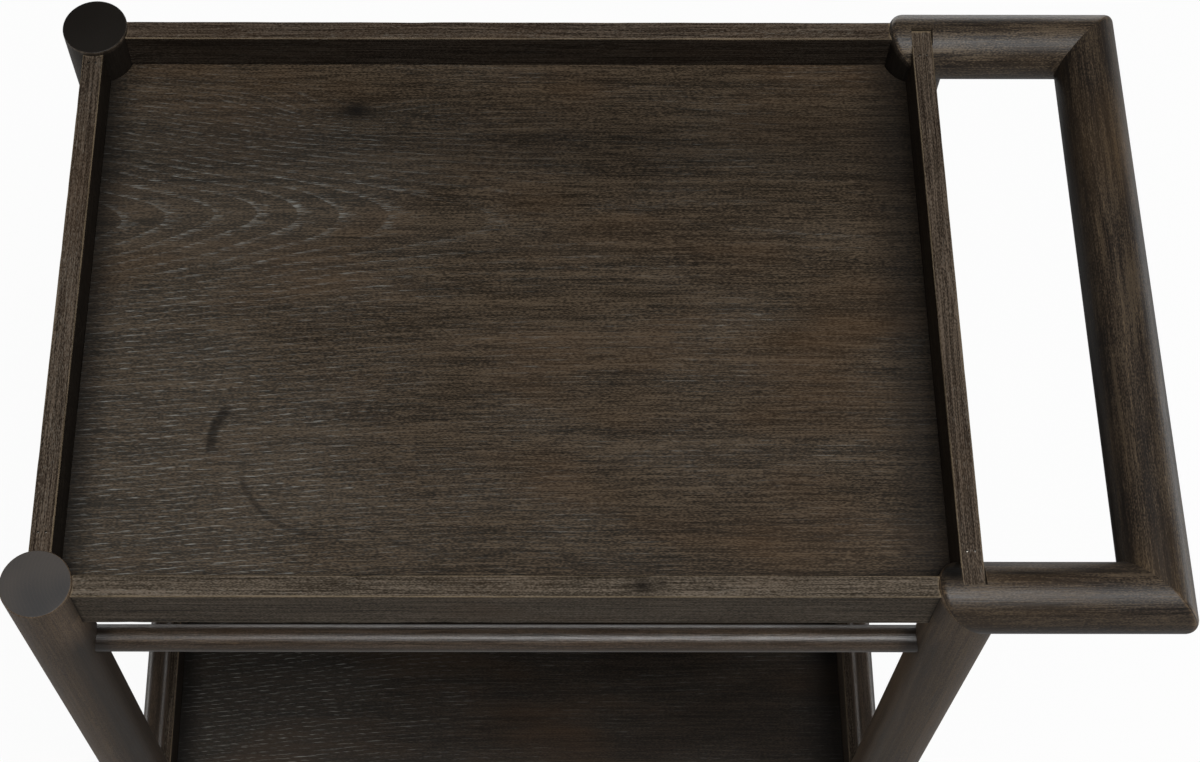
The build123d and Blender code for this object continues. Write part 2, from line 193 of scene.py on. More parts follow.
@dataclass(frozen=True)
class BrushedOak:
    """Oak, planed or turned, wire brushed, stained dark and waxed pale in the pores.

    Brushing takes out the soft early wood, so the eye gets fine lines along the grain, pale dashes where wax
    stays in the pores, and a satin that breaks up over them. Sizes are in millimetres. Each length runs along
    the grain and each width across it.
    """

    name: str
    dark: str
    mid: str
    light: str
    specular: float
    roughness: float = 0.5

    # Tones of what lies over the plain wood
    warm: str = "#4f3b29"
    wax: str = "#7c7c7b"
    bare: str = "#6d6051"
    # Dark colour of real stains and dark seams, and of painted shade
    soot: str = "#0f0d0b"
    end_dark: str = "#282420"
    end_light: str = "#322e2a"
    bare_share: float = 0.55
    # How dark the dark seams and the painted shade get where the wear value is below 0
    pooled: float = 0.6

    # Patterns along the grain, and how far each moves the tone
    wander: tuple[float, float, float] = (240.0, 50.0, 7.0)
    cloud: tuple[float, float] = (170.0, 70.0)
    streak_length: float = 190.0
    streak_width: float = 7.0
    streak_contrast: float = 1.0
    fibre_length: float = 30.0
    fibre_width: float = 0.75
    fibre_contrast: float = 1.0
    fleck_length: float = 1.8
    fleck_width: float = 0.7
    fleck_contrast: float = 0.8
    patch: tuple[float, float] = (110.0, 45.0)
    blotch: float = 0.0

    # Wax: a pore shows where its noise passes the level of the wood round it
    pore_length: float = 6.0
    pore_width: float = 0.65
    late_pores: float = 0.74
    early_pores: float = 0.5
    pore_edge: float = 0.14
    pore_strength: float = 0.5
    least_wax: float = 0.12
    kept_span: tuple[float, float] = (0.35, 0.65)
    haze: float = 0.0

    # Year rings round the pith, which taper along the tree
    pith: tuple[float, float] = (6.0, 34.0)
    ring_spacing: float = 2.6
    ring_pull: float = 0.12
    ring_fall: float = 0.4
    ring_rise: float = 0.92
    ring_wander: float = 5.0
    taper: float = 0.0
    taper_end: float = 0.0
    taper_blend: float = 60.0

    waxy: tuple[Patch, ...] = ()
    marks: tuple[Mark, ...] = ()
    mark_core: float = 0.35
    rings: tuple[RingStain, ...] = ()
    # Ends of the board that get painted shade
    ends: tuple[ShadedEnd, ...] = ()

    def material(self, label: str, centre: Vector, grain: Grain, seed: float) -> bpy.types.Material:
        """Build the node material of one piece of this wood.

        Args:
            label: Piece that the material is for, used in its name.
            centre: Middle of the piece's stock, in metres.
            grain: Way that the grain runs.
            seed: Number that picks another stretch of the tree for this piece.

        Returns:
            The material.
        """
        material, tree = new_material(f"{self.name}_{label}")

        # Object coordinates in millimetres, from the stock's centre, with the grain laid along X
        placed = add_node(tree, "Mapping", {
            "Vector": add_node(tree, "TexCoord").outputs["Object"],
            "Location": -(Euler(grain.value).to_matrix() @ centre) / MM,
            "Rotation": grain.value,
            "Scale": (1 / MM, 1 / MM, 1 / MM),
        })
        swayed = self.sway(tree, placed, seed)
        layers = self.layers(tree, swayed)
        early = self.early_wood(tree, placed, swayed, layers["cloud"])
        waxed = self.waxed(tree, placed, layers, early)
        colour = self.tone(tree, layers, early)
        colour = add_node(tree, "Mix", {0: waxed, 6: colour, 7: linear(self.wax)}, data_type="RGBA")
        # Real stains, and painted shade from some marks and from the shaded ends
        for shape, darkness in self.stains_and_shade(tree, placed):
            colour = self.stain(tree, colour, shape, darkness)
        colour = self.wear_and_shade(tree, layers["streak"], colour)
        colour = self.end_grain(tree, grain, layers["patch"], early, colour)

        # Brushed relief: fibres stand, pores sink
        height = add_node(tree, "Math", {0: waxed, 1: -0.8, 2: layers["fibre"]}, operation="MULTIPLY_ADD")
        relief = add_node(tree, "Bump", {"Height": height, "Strength": 0.35, "Distance": 0.4 * MM})
        satin = add_node(tree, "MapRange", {
            "Value": layers["fibre"], **NOISE_SPAN,
            "To Min": self.roughness - 0.06, "To Max": self.roughness + 0.08,
        })
        shader = add_node(tree, "BsdfPrincipled", {
            "Base Color": colour, "Roughness": satin, "Normal": relief, "Specular IOR Level": self.specular,
        })
        add_node(tree, "OutputMaterial", {"Surface": shader})
        return material

    def sway(self, tree: Tree, placed: Source, seed: float) -> Source:
        """Move to a stretch of the tree, and let the grain wander slowly off a straight line.

        Args:
            tree: Node tree of the material.
            placed: Coordinates in millimetres from the centre, with the grain along X.
            seed: Number of the stretch.

        Returns:
            The swayed coordinates.
        """
        length, width, aside = self.wander
        stretch = add_node(tree, "VectorMath", {0: placed, 1: (STRETCH * seed, 0, 0)}, operation="ADD")
        slow = add_node(tree, "VectorMath", {0: stretch, 1: (1 / length, 1 / width, 1 / width)},
                        operation="MULTIPLY")
        noise = add_node(tree, "TexNoise", {"Vector": slow, "Scale": 1.0, "Detail": 1.0}).outputs["Color"]
        offset = add_node(tree, "VectorMath", {0: noise, 1: (0.5, 0.5, 0.5)}, operation="SUBTRACT")
        return add_node(tree, "VectorMath", {0: offset, 1: (0, aside, aside), 2: stretch},
                        operation="MULTIPLY_ADD")

    def layers(self, tree: Tree, swayed: Source) -> dict[str, Source]:
        """Noise of each pattern, stretched to its length and width.

        Args:
            tree: Node tree of the material.
            swayed: Coordinates that the patterns follow.

        Returns:
            The noise of each pattern, by its name.
        """
        layers = {}
        for layer, length, width, detail in (
            ("fibre", self.fibre_length, self.fibre_width, 3.0),
            ("streak", self.streak_length, self.streak_width, 3.0),
            ("cloud", *self.cloud, 2.0),
            ("patch", *self.patch, 1.0),
            ("fleck", self.fleck_length, self.fleck_width, 0.0),
            ("pore", self.pore_length, self.pore_width, 2.0),
        ):
            stretched = add_node(tree, "VectorMath", {0: swayed, 1: (1 / length, 1 / width, 1 / width)},
                                 operation="MULTIPLY")
            layers[layer] = add_node(tree, "TexNoise", {
                "Vector": stretched, "Scale": 1.0, "Detail": detail, "Roughness": 0.55,
            })
        return layers

    def tone(self, tree: Tree, layers: dict[str, Source], early: Source) -> Source:
        """Colour from dark to light by the patterns and the early wood, warmer where the stain took less.

        Args:
            tree: Node tree of the material.
            layers: Noise of each pattern.
            early: Share of early wood.

        Returns:
            The colour of the wood without its wax.
        """
        tone = 0.5
        for layer, contrast in (
            ("fibre", 0.28 * self.fibre_contrast),
            ("streak", 0.32 * self.streak_contrast),
            ("fleck", 0.28 * self.fleck_contrast),
            ("patch", self.blotch),
        ):
            moved = add_node(tree, "MapRange", {
                "Value": layers[layer], **NOISE_SPAN, "To Min": -contrast, "To Max": contrast,
            }, clamp=False)
            tone = add_node(tree, "Math", {0: tone, 1: moved}, operation="ADD")
        tone = add_node(tree, "Math", {0: early, 1: self.ring_pull, 2: tone},
                        operation="MULTIPLY_ADD", use_clamp=True)
        colour = linear(self.dark)
        for low, high, paint in ((0.0, 0.5, self.mid), (0.5, 1.0, self.light)):
            share = add_node(tree, "MapRange", {"Value": tone, "From Min": low, "From Max": high})
            colour = add_node(tree, "Mix", {0: share, 6: colour, 7: linear(paint)}, data_type="RGBA")
        warmth = add_node(tree, "MapRange", {
            "Value": layers["cloud"], "From Min": 0.5, "From Max": 0.75, "To Max": 0.55,
        })
        warmth = add_node(tree, "Math", {0: warmth, 1: layers["streak"]}, operation="MULTIPLY")
        return add_node(tree, "Mix", {0: warmth, 6: colour, 7: linear(self.warm)}, data_type="RGBA")

    def waxed(self, tree: Tree, placed: Source, layers: dict[str, Source], early: Source) -> Source:
        """Share of pale wax: thick in the pores of the early wood, thin in the late, more in some patches.

        Args:
            tree: Node tree of the material.
            placed: Coordinates in millimetres from the centre, with the grain along X.
            layers: Noise of each pattern.
            early: Share of early wood.

        Returns:
            The share of wax.
        """
        filled = add_node(tree, "Math", {
            0: early, 1: self.late_pores - self.early_pores, 2: layers["pore"],
        }, operation="MULTIPLY_ADD")
        waxed = add_node(tree, "MapRange", {
            "Value": filled, "From Min": self.late_pores, "From Max": self.late_pores + self.pore_edge,
        })
        kept = layers["patch"]
        for patch in self.waxy:
            kept = add_node(tree, "Math", {0: self.spot(tree, placed, patch), 1: kept}, operation="ADD")
        kept = add_node(tree, "MapRange", {
            "Value": kept, "From Min": self.kept_span[0], "From Max": self.kept_span[1],
            "To Min": self.least_wax, "To Max": self.pore_strength,
        })
        waxed = add_node(tree, "Math", {0: waxed, 1: self.haze}, operation="MAXIMUM")
        return add_node(tree, "Math", {0: waxed, 1: kept}, operation="MULTIPLY")

    def stains_and_shade(self, tree: Tree, placed: Source) -> list[tuple[Source, float]]:
        """Shape and darkness of each dark mark, ring stain and end with painted shade; some marks are painted
        shade too.

        Args:
            tree: Node tree of the material.
            placed: Coordinates in millimetres from the centre, with the grain along X.

        Returns:
            A list of the shapes, each with its darkness.
        """
        shapes = [(self.spot(tree, placed, mark, self.mark_core), mark.darkness) for mark in self.marks]
        shapes += [(self.ring(tree, placed, ring), ring.darkness) for ring in self.rings]
        along = add_node(tree, "SeparateXYZ", {0: placed}).outputs["X"]
        shapes += [(add_node(tree, "MapRange", {
            "Value": along, "From Min": end.begins, "From Max": end.full,
        }, interpolation_type="SMOOTHSTEP"), end.darkness) for end in self.ends]
        return shapes

    def stain(self, tree: Tree, colour: Source, shape: Source, darkness: float) -> Source:
        """Darken a colour with stain, and with painted shade, as far as a shape says, times a darkness."""
        share = add_node(tree, "Math", {0: shape, 1: darkness}, operation="MULTIPLY")
        return add_node(tree, "Mix", {0: share, 6: colour, 7: linear(self.soot)}, data_type="RGBA")

    def wear_and_shade(self, tree: Tree, streak: Source, colour: Source) -> Source:
        """Rub the wood bare in streaks where its wear value is above 0, and darken it where that is below: dark
        seams, and painted shade.

        Args:
            tree: Node tree of the material.
            streak: Noise of the streaks.
            colour: Colour of the whole wood.

        Returns:
            The colour with its wear, its dark seams and its painted shade.
        """
        wear_and_shade = add_node(tree, "Attribute", attribute_name="wear_and_shade").outputs["Fac"]
        rubbed = add_node(tree, "Math", {0: streak, 1: 1.6, 2: wear_and_shade}, operation="MULTIPLY_ADD")
        rubbed = add_node(tree, "MapRange", {
            "Value": rubbed, "From Min": 1.4, "From Max": 2.1, "To Max": self.bare_share,
        })
        colour = add_node(tree, "Mix", {0: rubbed, 6: colour, 7: linear(self.bare)}, data_type="RGBA")
        # Below 0: dark seams, and painted shade in recesses, on the tray's inner faces and at the arms' tips
        pooled = add_node(tree, "MapRange", {"Value": wear_and_shade, "From Min": 0.0, "From Max": -1.0})
        return self.stain(tree, colour, pooled, self.pooled)

    def end_grain(self, tree: Tree, grain: Grain, cloud: Source, early: Source, colour: Source) -> Source:
        """Show end grain, clouded and faintly ringed, where the surface is square to the grain.

        Args:
            tree: Node tree of the material.
            grain: Way that the grain runs.
            cloud: Noise of its clouds.
            early: Share of early wood.
            colour: Colour of the long grain.

        Returns:
            The colour with the end grain.
        """
        normal = add_node(tree, "NewGeometry").outputs["Normal"]
        facing = add_node(tree, "VectorMath", {0: normal, 1: grain.direction}, operation="DOT_PRODUCT")
        facing = add_node(tree, "Math", {0: facing}, operation="ABSOLUTE")
        ended = add_node(tree, "MapRange", {"Value": facing, "From Min": 0.8, "From Max": 0.95})
        cloudy = add_node(tree, "MapRange", {
            "Value": cloud, "From Min": 0.35, "From Max": 0.65, "To Max": 0.8,
        })
        ringed = add_node(tree, "Math", {0: early, 1: 0.15, 2: cloudy}, operation="MULTIPLY_ADD")
        rings = add_node(tree, "Mix", {0: ringed, 6: linear(self.end_dark), 7: linear(self.end_light)},
                         data_type="RGBA")
        return add_node(tree, "Mix", {0: ended, 6: colour, 7: rings}, data_type="RGBA")

    def early_wood(self, tree: Tree, placed: Source, swayed: Source, cloud: Source) -> Source:
        """Share of early wood: 1 where a year's ring starts, falling to 0 over part of the ring.

        The ring number is the distance from the pith, plus the taper of the tree along the grain, over the
        ring spacing. Where the taper runs, the rings meet a flat board in nested arcs, and where it has ended
        they meet it in straight lines.

        Args:
            tree: Node tree of the material.
            placed: Coordinates in millimetres from the centre, with the grain along X.
            swayed: The same with the grain's wander.
            cloud: Noise that moves the rings.

        Returns:
            The share of early wood.
        """
        across = add_node(tree, "VectorMath", {
            0: swayed, 1: (0, 1, 1), 2: (0, -self.pith[0], self.pith[1]),
        }, operation="MULTIPLY_ADD")
        radius = add_node(tree, "VectorMath", {0: across}, operation="LENGTH")
        along = add_node(tree, "SeparateXYZ", {0: placed}).outputs["X"]
        held = add_node(tree, "Math", {0: along, 1: self.taper_end, 2: self.taper_blend},
                        operation="SMOOTH_MIN")
        grown = add_node(tree, "Math", {0: held, 1: self.taper, 2: radius}, operation="MULTIPLY_ADD")
        grown = add_node(tree, "Math", {0: cloud, 1: self.ring_wander, 2: grown}, operation="MULTIPLY_ADD")
        for mark in self.marks:
            if mark.lift:
                swell = self.spot(tree, placed, mark)
                grown = add_node(tree, "Math", {0: swell, 1: mark.lift, 2: grown}, operation="MULTIPLY_ADD")
        count = add_node(tree, "Math", {0: grown, 1: self.ring_spacing}, operation="DIVIDE")
        phase = add_node(tree, "Math", {0: count}, operation="FRACT")
        fall = add_node(tree, "MapRange", {
            "Value": phase, "From Min": 0.05, "From Max": self.ring_fall, "To Min": 1.0, "To Max": 0.0,
        })
        rise = add_node(tree, "MapRange", {"Value": phase, "From Min": self.ring_rise, "From Max": 1.0})
        return add_node(tree, "Math", {0: fall, 1: rise}, operation="MAXIMUM")

    def spot(self, tree: Tree, placed: Source, patch: Patch, share: float = 1.0) -> Source:
        """Soft oval: e to the minus squared distance, in the patch's lengths and widths times the share.

        Args:
            tree: Node tree of the material.
            placed: Coordinates in millimetres from the centre, with the grain along X.
            patch: Place and size of the oval.
            share: Share of that size to draw.

        Returns:
            1 in its middle, falling to 0.
        """
        off = add_node(tree, "VectorMath", {0: placed, 1: (patch.along, patch.across, 0)},
                       operation="SUBTRACT")
        scaled = add_node(tree, "VectorMath", {
            0: off, 1: (1 / (share * patch.length), 1 / (share * patch.width), 0),
        }, operation="MULTIPLY")
        squared = add_node(tree, "VectorMath", {0: scaled, 1: scaled}, operation="DOT_PRODUCT")
        negative = add_node(tree, "Math", {0: squared, 1: -1.0}, operation="MULTIPLY")
        return add_node(tree, "Math", {0: negative}, operation="EXPONENT")

    def ring(self, tree: Tree, placed: Source, stain: RingStain) -> Source:
        """Part of a ring: e to the minus fourth power of the distance from its circle over half its width.

        It fades out over the outer third of its span, where the cosine of the angle from its middle falls.

        Args:
            tree: Node tree of the material.
            placed: Coordinates in millimetres from the centre, with the grain along X.
            stain: The ring.

        Returns:
            1 on the ring, falling to 0.
        """
        off = add_node(tree, "VectorMath", {0: placed, 1: (stain.along, stain.across, 0)},
                       operation="SUBTRACT")
        off = add_node(tree, "VectorMath", {0: off, 1: (1, 1, 0)}, operation="MULTIPLY")
        away = add_node(tree, "VectorMath", {0: off}, operation="LENGTH")
        aside = add_node(tree, "Math", {0: away, 1: stain.radius}, operation="SUBTRACT")
        aside = add_node(tree, "Math", {0: aside, 1: stain.width / 2}, operation="DIVIDE")
        squared = add_node(tree, "Math", {0: aside, 1: aside}, operation="MULTIPLY")
        fourth = add_node(tree, "Math", {0: squared, 1: squared}, operation="MULTIPLY")
        negative = add_node(tree, "Math", {0: fourth, 1: -1.0}, operation="MULTIPLY")
        band = add_node(tree, "Math", {0: negative}, operation="EXPONENT")
        bearing, half_span = math.radians(stain.bearing), math.radians(stain.half_span)
        way = add_node(tree, "VectorMath", {0: off}, operation="NORMALIZE")
        cosine = add_node(tree, "VectorMath", {0: way, 1: (math.cos(bearing), math.sin(bearing), 0)},
                          operation="DOT_PRODUCT")
        shown = add_node(tree, "MapRange", {
            "Value": cosine, "From Min": math.cos(half_span), "From Max": math.cos(half_span * 2 / 3),
        })
        return add_node(tree, "Math", {0: band, 1: shown}, operation="MULTIPLY")


@dataclass(frozen=True)
class HardFinish:
    """A smooth hard surface with a fine grit of its own: powder coat, zinc plate, moulded nylon or rubber.

    The grit is the size of the coat's orange peel or of the mould's texture, in millimetres. Clouds of about
    11 mm shift its tone a little.
    """

    name: str
    colour: str
    shade: str
    metallic: float
    roughness: float
    grit: float
    relief: float
    ior: float = 1.5
    clouds_per_metre: float = 90.0

    def material(self) -> bpy.types.Material:
        """Build the node material.

        Returns:
            The material.
        """
        material, tree = new_material(self.name)
        coords = add_node(tree, "TexCoord").outputs["Object"]
        grains = add_node(tree, "TexNoise", {"Vector": coords, "Scale": 1 / (self.grit * MM), "Detail": 2.0})
        cloudy = add_node(tree, "TexNoise", {"Vector": coords, "Scale": self.clouds_per_metre, "Detail": 2.0})
        share = add_node(tree, "MapRange", {"Value": cloudy, "From Min": 0.35, "From Max": 0.7})
        colour = add_node(tree, "Mix", {0: share, 6: linear(self.shade), 7: linear(self.colour)},
                          data_type="RGBA")
        satin = add_node(tree, "MapRange", {
            "Value": cloudy, **NOISE_SPAN,
            "To Min": self.roughness - 0.05, "To Max": self.roughness + 0.07,
        })
        bumps = add_node(tree, "Bump", {"Height": grains, "Strength": 0.3, "Distance": self.relief * MM})
        shader = add_node(tree, "BsdfPrincipled", {
            "Base Color": colour, "Roughness": satin, "Normal": bumps,
            "Metallic": self.metallic, "IOR": self.ior,
        })
        add_node(tree, "OutputMaterial", {"Surface": shader})
        return material


@dataclass
class Surface:
    """A closed surface of equal rings, in metres, with flat faces at its ends and its wear at each point, which
    below 0 is dark seams and painted shade.
    """

    name: str
    rings: np.ndarray
    ends: list[list[int]]
    wear_and_shade: np.ndarray

    def piece(self, material: bpy.types.Material, slot: str, *nodes: str) -> None:
        """Make the mesh, dress it and let it stand for CAD nodes.

        Each side face joins two neighbours of a ring to the same two of the next ring. The piece rides on the
        cart's frame.

        Args:
            material: Finish of the piece.
            slot: The record's material slot for it; not used.
            *nodes: CAD nodes that it stands for, if any.
        """
        count, around = self.rings.shape[:2]
        ring, point = np.meshgrid(np.arange(count - 1), np.arange(around), indexing="ij")
        after = (point + 1) % around
        sides = np.stack((ring * around + point, ring * around + after,
                          (ring + 1) * around + after, (ring + 1) * around + point), axis=-1)
        mesh = bpy.data.meshes.new(self.name)
        mesh.from_pydata(self.rings.reshape(-1, 3), [], sides.reshape(-1, 4).tolist() + self.ends)
        # Wear above 0; below 0, dark seams and painted shade
        wear_and_shade = mesh.attributes.new("wear_and_shade", "FLOAT", "POINT")
        wear_and_shade.data.foreach_set("value", self.wear_and_shade.astype(np.float32).ravel())
        mesh.polygons.foreach_set("use_smooth", np.ones(len(mesh.polygons), dtype=bool))
        mesh.set_sharp_from_angle(angle=SHARP_ANGLE)
        mesh.materials.append(material)
        made = bpy.data.objects.new(self.name, mesh)
        bpy.context.scene.collection.objects.link(made)
        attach(made, FRAME_BODY)
        if nodes:
            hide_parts(*nodes)
        log.info("%s: %d faces, %s", self.name, len(mesh.polygons), material.name)


@dataclass(frozen=True)
class MitredEnd:
    """End of round stock, mitred at 45 degrees to other stock, its outer side sanded round.

    The corner is where both axes meet, and turn is the way that the other stock leaves it. Lengths are in
    metres, but wear lists the distances in millimetres over which the rubbed arris fades into the stock. The
    seam itself is dark.
    """

    corner: Vector
    turn: Vector
    rounding: float
    rubbed: float = 1.0
    wear: tuple[float, ...] = (0.3, 0.8, 1.6)
    seam: float = -0.8

    def rows(self, radius: float, spoke: np.ndarray) -> Rows:
        """Rows of points from the mitre inwards.

        With e a spoke and b the turn, the mitre lies radius times -e.b past the corner. Both stocks' normals
        there differ by an angle a with sin(a / 2) = -e.b / sqrt(2). The rounding begins its radius times
        tan(a / 2) before the mitre, measured square to it, and has turned through half of a where it reaches
        the mitre's plane. On the inner side -e.b is negative, and the mitre stays a sharp valley.

        Args:
            radius: Radius of the stock, in metres.
            spoke: Unit vectors round the stock.

        Returns:
            Distance past the corner, depth below the stock's surface, and wear, all by row and spoke.
        """
        outward = -(spoke @ np.array(self.turn, dtype=float))
        half = np.arcsin(np.clip(outward, 1e-6, 1) / math.sqrt(2))
        setback = self.rounding * np.tan(half) * np.sqrt(2 - np.clip(outward, 0, 1) ** 2)
        begin = radius * outward - setback
        finish = (radius - self.rounding * (1 - np.cos(half))) * outward
        turned = np.linspace(1, 0, ROUND_STEPS)[:, None] * half
        along = begin + (finish - begin) * np.sin(turned) / np.sin(half)
        depth = self.rounding * (1 - np.cos(turned))
        steps = np.array(self.wear) * MM
        along = np.concatenate((along, begin - steps[:, None]))
        depth = np.concatenate((depth, np.zeros((len(steps), len(spoke)))))
        wear_and_shade = np.concatenate((np.linspace(1, 0.5, ROUND_STEPS), 0.5 * (1 - steps / steps[-1])))
        wear_and_shade = self.rubbed * wear_and_shade[:, None] * np.clip(0.6 + outward, 0, 1)
        wear_and_shade[0] = self.seam
        return along, depth, wear_and_shade


@dataclass(frozen=True)
class FlatEnd:
    """End of round stock, cut square, with its rim eased to a quarter circle.

    Lengths are in metres, but wear lists the distances in millimetres over which the rubbed rim fades.
    """

    corner: Vector
    rounding: float
    wear: tuple[float, ...] = (0.4, 1.2)

    def rows(self, radius: float, spoke: np.ndarray) -> Rows:
        """Rows of points from the end inwards: a quarter circle from the face down to the side.

        Args:
            radius: Radius of the stock, in metres.
            spoke: Unit vectors round the stock.

        Returns:
            Distance past the corner, depth below the stock's surface, and wear, all by row and spoke.
        """
        turned = np.linspace(math.pi / 2, 0, ROUND_STEPS)
        steps = np.array(self.wear) * MM
        along = np.concatenate((self.rounding * (np.sin(turned) - 1), -self.rounding - steps))
        depth = np.concatenate((self.rounding * (1 - np.cos(turned)), np.zeros(len(steps))))
        wear_and_shade = np.concatenate((np.linspace(0.2, 1, ROUND_STEPS), 1 - steps / steps[-1]))
        return tuple(np.repeat(row[:, None], len(spoke), axis=1) for row in (along, depth, wear_and_shade))


@dataclass(frozen=True)
class Recess:
    """Stretch of a post darkened by painted shade on the side towards the cart's middle, and how dark it is.

    Low and high are heights in metres, and the other lengths are in millimetres. It fades out below and above
    them. Round the post it is the spread times the cosine of the angle from its middle, at most 1.
    """

    low: float
    high: float
    towards: Vector
    depth: float = 1.0
    fade_below: float = 2.0
    fade_above: float = 1.5
    spread: float = 1.6
    clearance: float = 0.2

    def rings(self, corner: np.ndarray, radius: float, spoke: np.ndarray, around: Rings) -> Rings:
        """Four rings, clear then in painted shade then clear, and their wear values.

        Args:
            corner: Point on the stock's axis where its start is measured from.
            radius: Radius of the stock, in metres.
            spoke: Unit vectors round the stock.
            around: Last ring before these and first ring after them.

        Returns:
            Points by ring and spoke, and their wear.
        """
        heights = np.array((
            self.low - self.fade_below * MM, self.low, self.high, self.high + self.fade_above * MM,
        ))
        rings = np.repeat((corner + radius * spoke)[None], len(heights), axis=0)
        rings[..., 2] = np.minimum(heights[:, None], around[1][:, 2] - self.clearance * MM)
        # Painted shade: a wear value below 0, most on the side that the recess faces
        wear_and_shade = -self.depth * np.array((0, 1, 1, 0))
        return rings, wear_and_shade[:, None] * np.clip(self.spread * spoke @ np.array(self.towards), 0, 1)


@dataclass(frozen=True)
class Housing:
    """Notch across an arm for the end of a rail, from above the arm's axis to the tray's side.

    It lies on both sides of the post's axis, and its floor is at the rail's top. Painted shade lies between it
    and the arm's tip, as dark as the given share. Lengths are in metres.
    """

    half_width: float
    floor: float
    inward: Vector
    pooled: float
    shade_length: float = 16.0 * MM
    wear: float = 1.2 * MM
    wall: float = 0.2 * MM
    slope: float = 0.02 * MM
    clearance: float = 0.05 * MM

    def rings(self, corner: np.ndarray, radius: float, spoke: np.ndarray, around: Rings) -> Rings:
        """Seven rings: tip, whole, rubbed, cut, cut, rubbed and whole.

        Points of a cut ring that lie above the floor, on the inward side of the axis, sink to the floor. The
        rings keep clear of the arm's tip, each a little further than the one before.

        Args:
            corner: Point on the arm's axis where its start is measured from.
            radius: Radius of the arm, in metres.
            spoke: Unit vectors round the arm.
            around: Last ring before these and first ring after them.

        Returns:
            Points by ring and spoke, and their wear.
        """
        half = self.half_width
        places = np.array((
            -half - self.shade_length, -half - self.wear, -half, self.slope - half,
            half - self.slope, half, half + self.wear,
        ))
        rings = np.repeat((corner + radius * spoke)[None], len(places), axis=0)
        clear = around[0][:, 0] + self.clearance * np.arange(1, len(places) + 1)[:, None]
        rings[..., 0] = np.maximum(corner[0] + places[:, None], clear)
        aside = radius * spoke @ np.array(self.inward)
        notched = (aside > self.wall) & (rings[0, :, 2] > self.floor)
        edge = notched & (aside < np.sort(aside[notched])[0] + self.wall)
        cut = rings[3:5]
        cut[:, notched, 2] = self.floor
        cut[:, edge, 1] = corner[1] + self.wall * self.inward.y

        # Arrises rubbed bare, a dark notch, and painted shade that begins a tenth of the radius off the crest
        wear_and_shade = np.array((0, 0, 0.6, -1, -0.4, 1, 0))[:, None] * np.where(notched, 1.0, 0.0)
        wear_and_shade[:2] = -self.pooled * np.clip(3 * aside / radius - 0.3, 0, 1)
        return rings, wear_and_shade


def round_stock(name: str, radius: float, start: MitredEnd | FlatEnd, stop: MitredEnd | FlatEnd,
                bands: tuple[Recess | Housing, ...] = ()) -> Surface:
    """Surface of round stock: its axis plus the radius, less the depth at the ends, times each spoke.

    Args:
        name: Name of the piece.
        radius: Radius of the stock, in metres.
        start: End where the rings begin.
        stop: End where they finish.
        bands: What lies between the ends, from the start.

    Returns:
        The closed surface.
    """
    axis = np.array((stop.corner - start.corner).normalized())
    aside = np.array(UP if abs(axis[2]) < 0.5 else Vector((1, 0, 0)))
    angle = np.linspace(0, 2 * math.pi, STOCK_POINTS, endpoint=False)[:, None]
    spoke = np.cos(angle) * aside + np.sin(angle) * np.cross(axis, aside)
    parts = []
    for end, way in ((start, -1), (stop, 1)):
        along, depth, wear_and_shade = end.rows(radius, spoke)
        rings = np.array(end.corner) + way * along[..., None] * axis + (radius - depth)[..., None] * spoke
        parts.append((rings[::-way], wear_and_shade[::-way]))
    around = parts[0][0][-1], parts[1][0][0]
    parts[1:1] = [band.rings(np.array(start.corner), radius, spoke, around) for band in bands]
    rings = np.concatenate([part[0] for part in parts])
    wear_and_shade = np.concatenate([part[1] for part in parts])
    last = (len(rings) - 1) * STOCK_POINTS
    faces = [list(range(STOCK_POINTS))[::-1], list(range(last, last + STOCK_POINTS))]
    return Surface(name, rings, faces, wear_and_shade)


